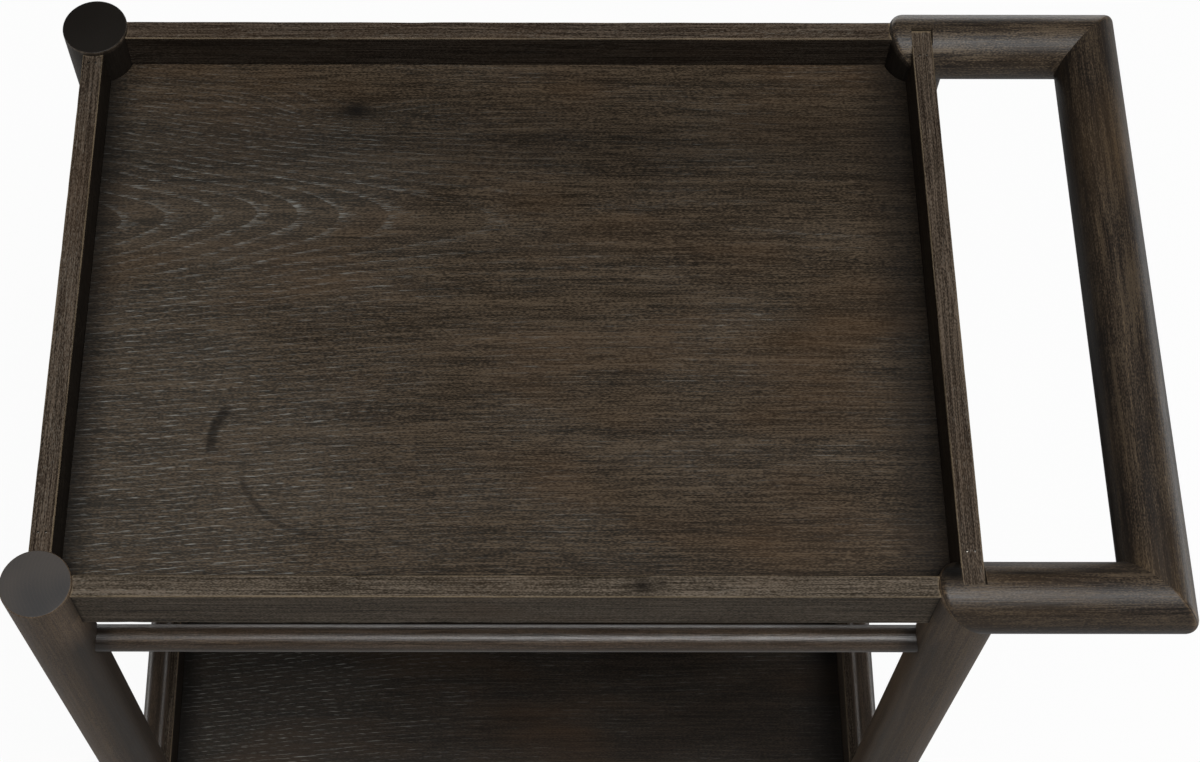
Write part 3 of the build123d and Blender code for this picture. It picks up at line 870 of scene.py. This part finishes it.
@dataclass(frozen=True)
class RailShape:
    """A tray rail between two round posts: its section, the groove for its panel, and its hand-eased arrises.

    Outward is the way that its plain face looks, and the groove is in the other face. The sizes that come
    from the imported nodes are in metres, and those with a default are in millimetres.
    """

    name: str
    middle: Vector
    outward: Vector
    spacing: float
    thickness: float
    height: float
    groove_low: float
    groove_high: float
    groove_depth: float
    post_radius: float
    arm_above: float | None
    seed: int
    arris: float = 0.8
    arris_play: float = 0.3
    arris_wear: float = 1.2
    dent_depth: float = 0.7
    dent_length: float = 4.0
    dents: int = 5
    waves: tuple[float, ...] = (45.0, 90.0, 210.0)
    station_gap: float = 9.0
    lap: float = 0.4
    housed_height: float = 2.0
    housed_reach: float = 0.3
    end_wear: tuple[float, ...] = (0.0, 0.8, 2.0, 4.0)
    most_end_wear: float = 1.6

    def section(self) -> Rows:
        """Section seen along the rail, outward to the right, counterclockwise from the lower outer arris.

        Each point is a fixed place plus the arris radius times an offset: 0 on the faces, and on an arris the
        way from the sharp corner to a quarter circle.

        Returns:
            Fixed places, offsets, and the number of the arris that each point belongs to.
        """
        half, wear = self.thickness / 2, self.arris_wear * MM
        turn = np.linspace(0, math.pi / 2, ROUND_STEPS)
        places, offsets, owner = [], [], []
        corners = ((1, 0, -1), (1, 1, 0), (-1, 1, 1), (-1, 0, 2))
        for number, (side, top, quarter) in enumerate(corners):
            lift = 1 if top else -1
            corner = np.array((side * half, top * self.height))
            along = np.array((0, -lift)) if side * lift > 0 else np.array((-side, 0))
            angle = quarter * math.pi / 2 + turn
            ring = np.stack((np.cos(angle) - side, np.sin(angle) - lift), axis=1)
            leaving = np.array((-side, -lift)) - along
            places += [corner + wear * along] + [corner] * ROUND_STEPS + [corner + wear * leaving]
            offsets += [np.zeros(2), *ring, np.zeros(2)]
            owner += [number] * (ROUND_STEPS + 2)
            if number == 2:
                inner, floor = -half, self.groove_depth - half
                places += [np.array(place) for place in (
                    (inner, self.groove_high), (floor, self.groove_high),
                    (floor, self.groove_low), (inner, self.groove_low),
                )]
                offsets += [np.zeros(2)] * 4
                owner += [number] * 4
        return np.array(places), np.array(offsets), np.array(owner)

    def reach(self, out: np.ndarray, up: np.ndarray) -> np.ndarray:
        """Distance from a post's axis to the rail's end, which is scribed to the post.

        On a post it is the root of the radius squared less the distance out squared. Where the handle's arm
        passes over the end, past the 45 degree mitre, the height from the arm's axis stands for that
        distance. There the rail's top runs on into a notch, almost to the arm's axis.

        Args:
            out: Distance of each point from the rail's middle plane, on its outward side.
            up: Height of each point above the rail's bottom.

        Returns:
            The distance for each point.
        """
        if self.arm_above is None:
            return np.sqrt(self.post_radius ** 2 - out ** 2) - self.lap * MM
        height = up - self.arm_above
        off = np.where(height + out > 0, height, out)
        reach = np.sqrt(self.post_radius ** 2 - off ** 2) - self.lap * MM
        return np.where(up > self.height - self.housed_height * MM, self.housed_reach * MM, reach)

    def arris_radius(self, run: np.ndarray) -> np.ndarray:
        """Radius of each arris along the rail, in metres: the mean of a few sines, with a few round dents.

        Args:
            run: Places along the rail, from its middle.

        Returns:
            Radius by place and arris.
        """
        rng = np.random.default_rng(self.seed)
        place = run[:, None, None]
        waves = np.array(self.waves) * MM
        phase = rng.uniform(0, 2 * math.pi, (4, len(waves)))
        wander = np.sin(place / waves * 2 * math.pi + phase).mean(axis=2)
        dent_at = rng.uniform(-0.45, 0.45, (4, self.dents)) * self.spacing
        dent = np.exp(-((place - dent_at) / (self.dent_length * MM)) ** 2).sum(axis=2)
        return (self.arris + self.arris_play * wander + self.dent_depth * dent) * MM

    def wear(self, places: np.ndarray, offsets: np.ndarray, push: np.ndarray) -> np.ndarray:
        """Wear by ring and point: rubbed arrises, and ends that are rubbed on top and dark at the sides.

        The rail's face on the tray's side is darkened all over above the groove: painted shade.

        Args:
            places: Fixed places of the section's points.
            offsets: Their offsets, which are 0 on the faces.
            push: Distance of each ring from its end, 0 for those between the ends.

        Returns:
            Wear by ring and point.
        """
        ends = np.array(self.end_wear) * MM
        at_end = np.interp(np.abs(push), ends, np.linspace(self.most_end_wear, 0, len(ends)))
        at_end[len(ends):-len(ends)] = 0
        on_top = places[:, 1] > self.height - self.arris_wear * MM
        seam = np.where(on_top, 1, -1) * at_end[:, None]
        on_arris = np.where(np.abs(offsets).sum(axis=1) > 0, 1.0, 0.0)
        # Painted shade on the face inside the tray
        inside = (places[:, 0] <= -self.thickness / 2) & (places[:, 1] > self.groove_low) & (on_arris == 0)
        return np.where(inside, -1.0, np.where(seam < 0, seam, np.maximum(on_arris, seam)))

    def surface(self) -> Surface:
        """Carry the section along the rail, from end to scribed end.

        A few rings lie close together near each end, pushed in from it by the distances of the end's wear.

        Returns:
            The closed surface.
        """
        places, offsets, owner = self.section()
        inner = np.linspace(0, 1, int(self.spacing / MM / self.station_gap))[1:-1]
        ends = np.array(self.end_wear) * MM
        share = np.concatenate((np.zeros(len(ends)), inner, np.ones(len(ends))))
        push = np.concatenate((ends, np.zeros(len(inner)), -ends[::-1]))
        radius = self.arris_radius((share - 0.5) * self.spacing)
        flat = places + radius[:, owner, None] * offsets
        out, up = flat[..., 0], flat[..., 1]
        along = (share[:, None] - 0.5) * (self.spacing - 2 * self.reach(out, up)) + push[:, None]
        way = self.outward.cross(UP)
        shifts = ((along, way), (out, self.outward), (up, UP))
        rings = sum((length[..., None] * np.array(side) for length, side in shifts), np.array(self.middle))
        corners = [Vector((*place, 0)) for place in places + self.arris * MM * offsets]
        fan = [list(face) for face in tessellate_polygon([corners])]
        last = (len(rings) - 1) * len(places)
        faces = [face[::-1] for face in fan] + [[point + last for point in face] for face in fan]
        return Surface(self.name, rings, faces, self.wear(places, offsets, push))


def dress(node: str, material: bpy.types.Material) -> None:
    """Give every material slot of a CAD node the material.

    Args:
        node: Name of the node.
        material: Finish of the node.
    """
    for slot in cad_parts[node].material_slots:
        slot.material = material
    log.info("%s: %s", node, material.name)


def middle(node: str) -> Vector:
    """Middle of a CAD node's box at rest, in metres."""
    low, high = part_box(node)
    return (low + high) / 2


@dataclass
class Frame:
    """Sizes of the cart's frame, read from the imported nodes, in metres."""

    radius: float
    foot: float
    top: float
    arm_z: float
    bar_x: float
    posts: dict[str, Vector]

    @classmethod
    def measure(cls) -> "Frame":
        """Read the sizes from the posts' and the handle's boxes.

        Returns:
            The frame's sizes.
        """
        low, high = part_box("post_front_left")
        bar_low, bar_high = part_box("handle_crossbar")
        radius = (high.x - low.x) / 2
        posts = {place: middle(f"post_{place}") for place in PLACES}
        return cls(radius, low.z, high.z, bar_high.z - radius, bar_high.x - radius, posts)

    def corner(self, place: str, height: float) -> Vector:
        """Point on a post's axis at a height."""
        return Vector((self.posts[place].x, self.posts[place].y, height))

    def bar_corner(self, place: str) -> Vector:
        """Point where the axes of a post's arm and of the crossbar meet."""
        return Vector((self.bar_x, self.posts[place].y, self.arm_z))


@dataclass
class Posts:
    """The four turned posts: two cut flat, two mitred to the handle's arms.

    Sizes are in millimetres. Painted shade darkens the recess above each tray's panel, and more softly the
    side towards the cart's middle, from a gap above the lower tray to a gap below the upper one.
    """

    sizes: Frame
    rim: float = 1.2
    foot_rim: float = 1.5
    tip_rounding: float = 6.0
    tip_rubbed: float = 0.65
    recess_gap: float = 1.0
    between_gaps: tuple[float, float] = (24.0, 44.0)
    between_fades: tuple[float, float] = (20.0, 40.0)
    # How dark the painted shade on the side towards the middle is, by post
    between_depth: dict[str, float] = field(default_factory=lambda: {
        "front_left": 1.0, "rear_left": 0.6, "front_right": 0.5, "rear_right": 0.4,
    })
    first_seed: float = 1.0
    # Its dark bluish-grey is the colour of the painted shade in the recesses
    oak: BrushedOak = BrushedOak(
        "turned_brushed_oak", dark="#382d23", mid="#504234", light="#625342", warm="#634c34",
        streak_contrast=0.8, streak_width=5.0, fibre_contrast=1.4, fleck_contrast=1.0, pore_strength=0.12,
        specular=0.15, roughness=0.45, soot="#151516", pooled=0.75,
    )
    # Lit and shaded copies of the post oak: the front left is lighter, painted light, and its pale grey end grain
    # is a painted reflection; the rear posts are darker, painted shade
    lit_and_shaded_tones: dict[str, dict[str, str]] = field(default_factory=lambda: {
        "front_left": {
            "dark": "#3f3328", "mid": "#594a3b", "light": "#6c5c4b",
            "end_dark": "#424141", "end_light": "#544f4b",
        },
        "rear_left": {**SHADED_REAR_POST_TONES, "end_dark": "#1e1b18", "end_light": "#23201d"},
        "front_right": {},
        "rear_right": SHADED_REAR_POST_TONES,
    })

    def build(self) -> None:
        """Build the posts, each from its own stretch of wood."""
        for number, place in enumerate(PLACES):
            foot = FlatEnd(self.sizes.corner(place, self.sizes.foot), self.foot_rim * MM)
            if place.endswith("left"):
                head = FlatEnd(self.sizes.corner(place, self.sizes.top), self.rim * MM)
            else:
                corner = self.sizes.corner(place, self.sizes.arm_z)
                head = MitredEnd(corner, Vector((1, 0, 0)), self.tip_rounding * MM, rubbed=self.tip_rubbed)
            sideways = Vector((1 if place.endswith("left") else -1, 0, 0))
            inward = (sideways + Vector((0, 1 if place.startswith("front") else -1, 0))).normalized()
            # Painted shade in the recess above each tray's panel, and on the side towards the middle
            lower, upper = (
                Recess(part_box(f"{tier}_panel")[1].z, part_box(f"{tier}_rail_front")[1].z - self.recess_gap * MM,
                       inward)
                for tier in ("lower", "upper")
            )
            low, high = lower.high + self.between_gaps[0] * MM, upper.low - self.between_gaps[1] * MM
            between = Recess(low, high, sideways, self.between_depth[place], *self.between_fades)
            node = f"post_{place}"
            oak = replace(self.oak, **self.lit_and_shaded_tones[place])
            material = oak.material(place, middle(node), Grain.ALONG_Z, number + self.first_seed)
            stock = round_stock(f"turned_{node}", self.sizes.radius, foot, head, (lower, between, upper))
            stock.piece(material, "post_oak", node)


@dataclass
class Handle:
    """The two arms and the crossbar, mitred to each other and to the posts, and their hidden dowels.

    Sizes are in millimetres. Each arm is notched for the end of a rail, a little wider and deeper than that.
    """

    sizes: Frame
    tip_rounding: float = 6.0
    oak: BrushedOak = BrushedOak(
        "turned_streaky_oak", dark="#1c1713", mid="#332a22", light="#54483a", warm="#604c34", bare="#7d674d",
        bare_share=0.7, patch=(75.0, 16.0), blotch=0.35, streak_contrast=0.9, streak_width=3.5,
        streak_length=110.0, fibre_contrast=1.5, fibre_length=40.0, fibre_width=0.7, fleck_contrast=1.3,
        late_pores=0.64, early_pores=0.56, pore_length=9.0, pore_width=0.6, least_wax=0.25, wax="#8a765e",
        specular=0.33, roughness=0.42, pooled=0.85,
    )
    marks: dict[str, tuple[Mark, ...]] = field(default_factory=lambda: {
        "front": (
            # Painted shade at the arm's tip on the tray's side; then the arm darker along its front side, and two
            # dark streaks
            Mark(-81.0, 11.0, 40.0, 30.0, darkness=1.0),
            Mark(0.0, -18.0, 600.0, 40.0, darkness=0.3),
            Mark(-28.0, 9.5, 100.0, 7.0, darkness=0.85),
            Mark(30.0, 11.0, 90.0, 5.0, darkness=0.7),
        ),
        "rear": (Mark(10.0, 8.0, 60.0, 5.0, darkness=0.4),),
        # Painted shade along the crossbar's side towards the tray
        "bar": (Mark(0.0, 24.0, 900.0, 22.0, darkness=0.6),),
    })
    # Lit and shaded copies of the handle oak: the rear arm is lighter, painted light, and the crossbar darker,
    # painted shade
    lit_and_shaded_tones: dict[str, dict[str, str]] = field(default_factory=lambda: {
        "front": {},
        "rear": {"mid": "#393027", "light": "#5e5243"},
        "bar": {"mid": "#2b231c", "light": "#493e31"},
    })
    tip_rubbed: float = 0.65
    housing_play: float = 0.2
    housing_drop: float = 0.1
    first_seed: float = 11.0
    bar_seed: float = 13.5
    # Painted shade at each arm's tip, on the tray's side
    tip_shade: dict[str, float] = field(default_factory=lambda: {"front": 1.4, "rear": 0.0})

    def build(self) -> None:
        """Build the arms and the bar."""
        sizes, rounding = self.sizes, self.tip_rounding * MM
        rail_low, rail_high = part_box("upper_rail_right")
        half_width = (rail_high.x - rail_low.x) / 2 + self.housing_play * MM
        for number, side in enumerate(("front", "rear")):
            place = f"{side}_right"
            inward = Vector((0, 1 if side == "front" else -1, 0))
            start = MitredEnd(sizes.corner(place, sizes.arm_z), -UP, rounding, rubbed=self.tip_rubbed)
            stop = MitredEnd(sizes.bar_corner(place), inward, rounding)
            node = f"handle_arm_{side}"
            oak = replace(self.oak, marks=self.marks[side], **self.lit_and_shaded_tones[side])
            material = oak.material(f"arm_{side}", middle(node), Grain.ALONG_X, number + self.first_seed)
            housing = Housing(half_width, rail_high.z - self.housing_drop * MM, inward, self.tip_shade[side])
            arm = round_stock(f"turned_arm_{side}", sizes.radius, start, stop, (housing,))
            arm.piece(material, "handle_oak", node)
        start, stop = (MitredEnd(sizes.bar_corner(f"{side}_right"), Vector((-1, 0, 0)), rounding)
                       for side in ("front", "rear"))
        oak = replace(self.oak, marks=self.marks["bar"], **self.lit_and_shaded_tones["bar"])
        material = oak.material("crossbar", middle("handle_crossbar"), Grain.ALONG_Y, self.bar_seed)
        bar = round_stock("turned_crossbar", sizes.radius, start, stop)
        bar.piece(material, "handle_oak", "handle_crossbar")
        beech = HardFinish("turned_beech", "#c9a679", "#b48f63", 0.0, 0.6, 0.6, 0.05)
        dress("handle_mitre_dowels", beech.material())


@dataclass
class Tray:
    """One tray: four rails scribed to the posts, and a flat sawn panel. Sizes are in millimetres."""

    tier: str
    sizes: Frame
    tongue: float = 6.2
    groove_depth: float = 5.0
    rail_oak: BrushedOak = BrushedOak(
        "sawn_brushed_oak", dark="#211a14", mid="#3f362d", light="#62564a", streak_width=2.4,
        streak_length=160.0, streak_contrast=0.9, fibre_length=70.0, fibre_contrast=1.7, fibre_width=0.7,
        fleck_contrast=1.0, late_pores=0.6, early_pores=0.54, least_wax=0.25, pore_length=5.0, pore_width=0.6,
        wax="#8a8378", specular=0.08, soot="#0b0908", pooled=0.65, bare="#86765e",
    )
    # The front rail is a lighter, less glossy copy, painted light on its face; the side rails' numbers say how
    # dark the painted shade on their inner faces is
    rail_light_and_shade: dict[str, dict[str, str | float]] = field(default_factory=lambda: {
        "front": {"dark": "#2b251e", "mid": "#4a4238", "light": "#6d6256", "specular": 0.03},
        "left": {"pooled": 0.75},
        "right": {"pooled": 0.25},
    })
    rail_marks: dict[str, tuple[Mark, ...]] = field(default_factory=lambda: {
        "upper_rail_front": (
            Mark(94.0, 0.0, 26.0, 16.0, darkness=0.8),
            Mark(108.0, 2.0, 10.0, 8.0, darkness=0.5),
        ),
    })
    panel_oak: BrushedOak = BrushedOak(
        "flat_sawn_brushed_oak", dark="#1b150d", mid="#362c21", light="#554839", warm="#543c24",
        wax="#8a8a85", streak_contrast=0.8, fibre_length=32.0, fibre_width=0.7, fibre_contrast=1.7,
        fleck_contrast=1.3, fleck_length=2.3, fleck_width=0.65, pore_length=12.0, pore_width=0.55,
        early_pores=0.49, late_pores=0.74, pore_edge=0.18, pore_strength=0.95, least_wax=0.06,
        kept_span=(0.45, 1.15), haze=0.07, pith=(81.0, 58.7), ring_spacing=4.0, ring_fall=0.75,
        taper=0.118, taper_end=-60.0, taper_blend=160.0, specular=0.16, roughness=0.52, ring_pull=0.05,
        waxy=(Patch(-245.0, 115.0, 165.0, 70.0), Patch(-300.0, -130.0, 200.0, 140.0)),
        marks=(
            Mark(-119.0, 181.0, 60.0, 18.0, 14.0, 0.15),
            Mark(-119.0, 181.0, 34.0, 23.0, darkness=0.9),
            Mark(215.0, 166.0, 110.0, 16.0, 9.0, 0.1),
            # A long band of painted shade along the rear rail
            Mark(0.0, 150.0, 4000.0, 105.0, darkness=0.36),
        ),
        # Painted shade against the left and right rails, where the rails shadow the panel
        ends=(ShadedEnd(-286.0, -316.0, 0.85), ShadedEnd(262.0, 306.0, 0.68)),
    )
    # Darker copy for the lower panel: painted shade under the upper tray
    lower_panel_shade: dict[str, str] = field(default_factory=lambda: {
        "dark": "#17120c", "mid": "#241d16", "light": "#342b22",
    })
    rings: tuple[RingStain, ...] = (
        RingStain(-165.0, -110.0, 49.5, 8.0, 163.0, 25.0, 0.7),
        RingStain(-131.0, -118.0, 62.0, 5.0, 228.0, 42.0, 0.45),
        RingStain(-28.0, -75.0, 121.0, 4.0, 262.0, 32.0, 0.3),
    )
    seeds: dict[str, tuple[float, float, int]] = field(default_factory=lambda: {
        "upper": (0.0, 21.0, 100), "lower": (3.0, 31.0, 200),
    })

    def build(self) -> None:
        """Build the rails and dress the panel."""
        upper = self.tier == "upper"
        panel_seed, rail_seed, arris_seed = self.seeds[self.tier]
        posts = self.sizes.posts
        panel = middle(f"{self.tier}_panel")
        half_tongue = self.tongue / 2 * MM
        length = posts["front_right"].x - posts["front_left"].x
        width = posts["rear_left"].y - posts["front_left"].y
        centre_x = (posts["front_left"].x + posts["front_right"].x) / 2
        for number, (side, x, y, outward) in enumerate((
            ("front", centre_x, posts["front_left"].y, Vector((0, -1, 0))),
            ("rear", centre_x, posts["rear_left"].y, Vector((0, 1, 0))),
            ("left", posts["front_left"].x, 0.0, Vector((-1, 0, 0))),
            ("right", posts["front_right"].x, 0.0, Vector((1, 0, 0))),
        )):
            node = f"{self.tier}_rail_{side}"
            low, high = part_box(node)
            long_side = side in ("front", "rear")
            groove = panel.z - low.z
            rail = RailShape(
                name=f"sawn_{node}", middle=Vector((x, y, low.z)), outward=outward,
                spacing=length if long_side else width,
                thickness=(high.y - low.y) if long_side else (high.x - low.x), height=high.z - low.z,
                groove_low=groove - half_tongue, groove_high=groove + half_tongue,
                groove_depth=self.groove_depth * MM, post_radius=self.sizes.radius,
                arm_above=self.sizes.arm_z - low.z if upper and side == "right" else None,
                seed=number + arris_seed,
            )
            grain = Grain.ALONG_X if long_side else Grain.ALONG_Y
            oak = replace(self.rail_oak, marks=self.rail_marks.get(node, ()), **self.rail_light_and_shade.get(side, {}))
            material = oak.material(node, middle(node), grain, number + rail_seed)
            rail.surface().piece(material, "rail_oak", node)
        node = f"{self.tier}_panel"
        oak = replace(self.panel_oak, **({"rings": self.rings} if upper else self.lower_panel_shade))
        dress(node, oak.material(node, panel, Grain.ALONG_X, panel_seed))


@dataclass
class Pins:
    """Small steel pins, two side by side through each end of the upper side rails into their tenons.

    Each is a shallow dome: its height falls with the square of the distance from its middle. Sizes are in
    millimetres, and the distances are from the pins to the posts' axes.
    """

    sizes: Frame
    radius: float = 0.9
    proud: float = 0.15
    sunk: float = 0.3
    pair_gap: float = 5.4
    points: int = 12
    steps: int = 4
    from_post: dict[str, float] = field(default_factory=lambda: {
        "front_right": 26.5, "rear_right": 23.0, "front_left": 40.0, "rear_left": 31.0,
    })
    steel: HardFinish = HardFinish("blackened_steel_pin", "#8d8880", "#5c5752", 1.0, 0.35, 0.5, 0.02)

    def build(self) -> None:
        """Build the pins."""
        material = self.steel.material()
        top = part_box("upper_rail_left")[1].z
        for place, away in self.from_post.items():
            post = self.sizes.posts[place]
            inward = away if place.startswith("front") else -away
            for side, shift in (("left", -0.5), ("right", 0.5)):
                seat = Vector((post.x + shift * self.pair_gap * MM, post.y + inward * MM, top))
                self.dome(f"rail_pin_{place}_{side}", seat).piece(material, "bright_steel")

    def dome(self, name: str, seat: Vector) -> Surface:
        """Rings that rise as they narrow, above one that is sunk below the rail's top.

        Args:
            name: Name of the pin.
            seat: Point on the rail's top at its middle.

        Returns:
            The closed surface.
        """
        share = np.linspace(1, 0.25, self.steps)
        wide = np.concatenate(((1.0,), share)) * self.radius * MM
        lift = np.concatenate(((-self.sunk,), self.proud * (1 - share ** 2))) * MM
        angle = np.linspace(0, 2 * math.pi, self.points, endpoint=False)
        circle = np.stack((np.cos(angle), np.sin(angle), np.zeros(self.points)), axis=-1)
        rings = np.array(seat) + wide[:, None, None] * circle + lift[:, None, None] * np.array(UP)
        last = (len(rings) - 1) * self.points
        ends = [list(range(self.points))[::-1], list(range(last, last + self.points))]
        return Surface(name, rings, ends, np.zeros(rings.shape[:2]))


@dataclass
class Rods:
    """The round rods below the upper tray and above the lower one.

    Painted shade lies at both ends of each rod: shaded is how far from a post it begins and is full, in
    millimetres, and how dark it is. Sunk is how far the rod runs into the post.
    """

    oak: BrushedOak = BrushedOak(
        "drawn_rod_oak", dark="#241d16", mid="#392f26", light="#51453a", streak_width=3.0, pore_strength=0.3,
        wax="#86725a", specular=0.46, roughness=0.34, fibre_width=0.8, soot="#0b0908",
    )
    shaded: tuple[float, float, float] = (17.0, 3.0, 0.75)
    sunk: float = 14.0
    first_seed: float = 41.0

    def build(self) -> None:
        """Dress the rods."""
        for number, (node, grain) in enumerate((
            ("upper_rod_front", Grain.ALONG_X),
            ("upper_rod_rear", Grain.ALONG_X),
            ("lower_rod_left", Grain.ALONG_Y),
            ("lower_rod_right", Grain.ALONG_Y),
        )):
            low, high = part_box(node)
            half = max(high - low) / 2 / MM - self.sunk
            begins, full, darkness = self.shaded
            ends = tuple(ShadedEnd(way * (half - begins), way * (half - full), darkness) for way in (-1, 1))
            oak = replace(self.oak, ends=ends)
            dress(node, oak.material(node, middle(node), grain, number + self.first_seed))


@dataclass
class Casters:
    """The four swivel casters."""

    black_steel: HardFinish = HardFinish("powder_coated_steel", "#1b1b1c", "#141415", 0.0, 0.42, 0.7, 0.08)
    bright_steel: HardFinish = HardFinish("zinc_plated_steel", "#b9bab8", "#9a9b9a", 1.0, 0.28, 0.9, 0.02)
    nylon: HardFinish = HardFinish("moulded_nylon", "#1f1f20", "#181819", 0.0, 0.5, 0.5, 0.04, 1.53)
    rubber: HardFinish = HardFinish("moulded_rubber", "#2a2a2b", "#202021", 0.0, 0.72, 0.4, 0.06, 1.52)

    def build(self) -> None:
        """Dress each caster's pieces."""
        finishes = {
            "fork": self.black_steel.material(),
            "race": self.bright_steel.material(),
            "hub": self.nylon.material(),
            "tyre": self.rubber.material(),
        }
        for kind in ("socket", "stem", "balls", "axle"):
            finishes[kind] = finishes["race"]
        for place in PLACES:
            for kind, material in finishes.items():
                dress(f"caster_{kind}_{place}", material)


@dataclass
class Studio:
    """White floor, a large softbox above the front of the cart, low ones round it, and the camera."""

    floor_size: float = 14.0
    floor_colour: str = "#f4f4f4"
    floor_shade: str = "#b4b4b4"
    floor_white: float = 0.95
    mirrored_white: float = 0.1
    box_size: tuple[float, float] = (1.9, 1.2)
    box_place: tuple[float, float, float] = (0.4, -0.95, 3.4)
    box_watts: float = 75.0
    box_aim: tuple[float, float, float] = (0.0, 0.0, 0.8)
    fill_size: tuple[float, float] = (2.4, 0.7)
    fill_height: float = 0.42
    fill_reach: float = 2.4
    fill_watts: float = 17.0
    ambient: float = 0.03
    wall_top: float = 0.12

    # The camera looks down on the tray from above the front. Lens and shift are those of the whole frame,
    # and its angles are in degrees.
    lens: float = 64.098
    shift: tuple[float, float] = (0.05954, 0.04087)
    camera_place: tuple[float, float, float] = (-0.052733, -0.771384, 2.203156)
    camera_azimuth: float = 0.24173
    camera_elevation: float = 64.30479
    camera_roll: float = 0.27944

    def build(self) -> None:
        """Build the floor, the world, the light and the camera."""
        self.floor()
        self.world()
        self.light()
        self.camera()

    def floor(self) -> None:
        """Lay a plain floor that the camera and reflections see as white, with the cart's soft shadow."""
        half = self.floor_size / 2
        mesh = bpy.data.meshes.new("floor")
        corners = [(-half, -half, 0), (half, -half, 0), (half, half, 0), (-half, half, 0)]
        mesh.from_pydata(corners, [], [(0, 1, 2, 3)])
        floor = bpy.data.objects.new("floor", mesh)
        bpy.context.scene.collection.objects.link(floor)
        material, tree = new_material("matt_white_floor")
        path = add_node(tree, "LightPath").outputs
        mirrored = add_node(tree, "Math", {0: path["Is Glossy Ray"], 1: path["Is Transmission Ray"]},
                            operation="ADD")
        mirrored = add_node(tree, "Math", {0: mirrored, 1: self.mirrored_white}, operation="MULTIPLY")
        share = add_node(tree, "Math", {0: path["Is Camera Ray"], 1: self.floor_white, 2: mirrored},
                         operation="MULTIPLY_ADD")
        paper = add_node(tree, "Mix", {
            0: path["Is Camera Ray"], 6: linear(self.floor_shade), 7: linear(self.floor_colour),
        }, data_type="RGBA")
        matt = add_node(tree, "BsdfDiffuse", {"Color": paper})
        white = add_node(tree, "Emission", {"Color": (1, 1, 1, 1), "Strength": 1.0})
        shader = add_node(tree, "MixShader", {0: share, 1: matt, 2: white})
        add_node(tree, "OutputMaterial", {"Surface": shader})
        mesh.materials.append(material)

    def world(self) -> None:
        """Surround the cart with a white wall that meets the floor, under a dim ceiling."""
        world = bpy.data.worlds.new("studio")
        bpy.context.scene.world = world
        world.use_nodes = True
        tree = world.node_tree
        tree.nodes.clear()
        path = add_node(tree, "LightPath").outputs
        height = add_node(tree, "SeparateXYZ", {
            0: add_node(tree, "TexCoord").outputs["Generated"],
        }).outputs["Z"]
        wall = add_node(tree, "MapRange", {
            "Value": height, "From Min": 0.0, "From Max": self.wall_top, "To Min": 1.0, "To Max": 0.0,
        })
        mirrored = add_node(tree, "Math", {0: path["Is Glossy Ray"], 1: path["Is Transmission Ray"]},
                            operation="ADD")
        mirrored = add_node(tree, "Math", {0: mirrored, 1: wall}, operation="MULTIPLY")
        seen = add_node(tree, "Math", {0: mirrored, 1: path["Is Camera Ray"]},
                        operation="ADD", use_clamp=True)
        dim = add_node(tree, "Background", {"Strength": self.ambient})
        white = add_node(tree, "Background", {"Strength": 1.0, "Color": (1, 1, 1, 1)})
        shader = add_node(tree, "MixShader", {0: seen, 1: dim, 2: white})
        add_node(tree, "OutputWorld", {"Surface": shader})

    def light(self) -> None:
        """Hang the softbox, and stand a lower one beside the cart on each side that it leaves dark."""
        place, aim = Vector(self.box_place), Vector(self.box_aim)
        self.softbox("key_softbox", self.box_size, self.box_watts, place, aim)
        for name, way in (("left", (-1, 0, 0)), ("right", (1, 0, 0)), ("rear", (0, 1, 0))):
            aim = self.fill_height * UP
            place = aim + self.fill_reach * Vector(way)
            self.softbox(f"{name}_softbox", self.fill_size, self.fill_watts, place, aim)

    def softbox(self, name: str, size: tuple[float, float], watts: float, place: Vector, aim: Vector) -> None:
        """Add one softbox that faces a point.

        Args:
            name: Name of the light.
            size: Its width and height, in metres.
            watts: Its power.
            place: Its middle.
            aim: Point that it faces.
        """
        data = bpy.data.lights.new(name, "AREA")
        data.shape = "RECTANGLE"
        data.size, data.size_y = size
        data.energy = watts
        light = bpy.data.objects.new(name, data)
        light.location = place
        light.rotation_euler = (aim - place).to_track_quat("-Z", "Y").to_euler()
        light.visible_camera = False
        bpy.context.scene.collection.objects.link(light)

    def camera(self) -> None:
        """Set the camera where the photograph was taken from."""
        data = bpy.data.cameras.new("camera")
        data.sensor_width = 36.0
        data.lens = self.lens
        data.shift_x, data.shift_y = self.shift
        camera = bpy.data.objects.new("camera", data)
        turn = Matrix.Rotation(-math.radians(self.camera_azimuth), 4, "Z")
        turn = turn @ Matrix.Rotation(math.radians(90 - self.camera_elevation), 4, "X")
        turn = turn @ Matrix.Rotation(math.radians(self.camera_roll), 4, "Z")
        camera.matrix_world = Matrix.Translation(self.camera_place) @ turn
        bpy.context.scene.collection.objects.link(camera)
        bpy.context.scene.camera = camera


def main() -> None:
    """Build the cart's looks in order."""
    logging.basicConfig(level=logging.INFO, format="%(name)s %(message)s")
    sizes = Frame.measure()
    Posts(sizes).build()
    Handle(sizes).build()
    Tray("upper", sizes).build()
    Tray("lower", sizes).build()
    Pins(sizes).build()
    Rods().build()
    Casters().build()
    Studio().build()
    bpy.context.scene.view_settings.view_transform = "Standard"


if __name__ == "__main__":
    main()
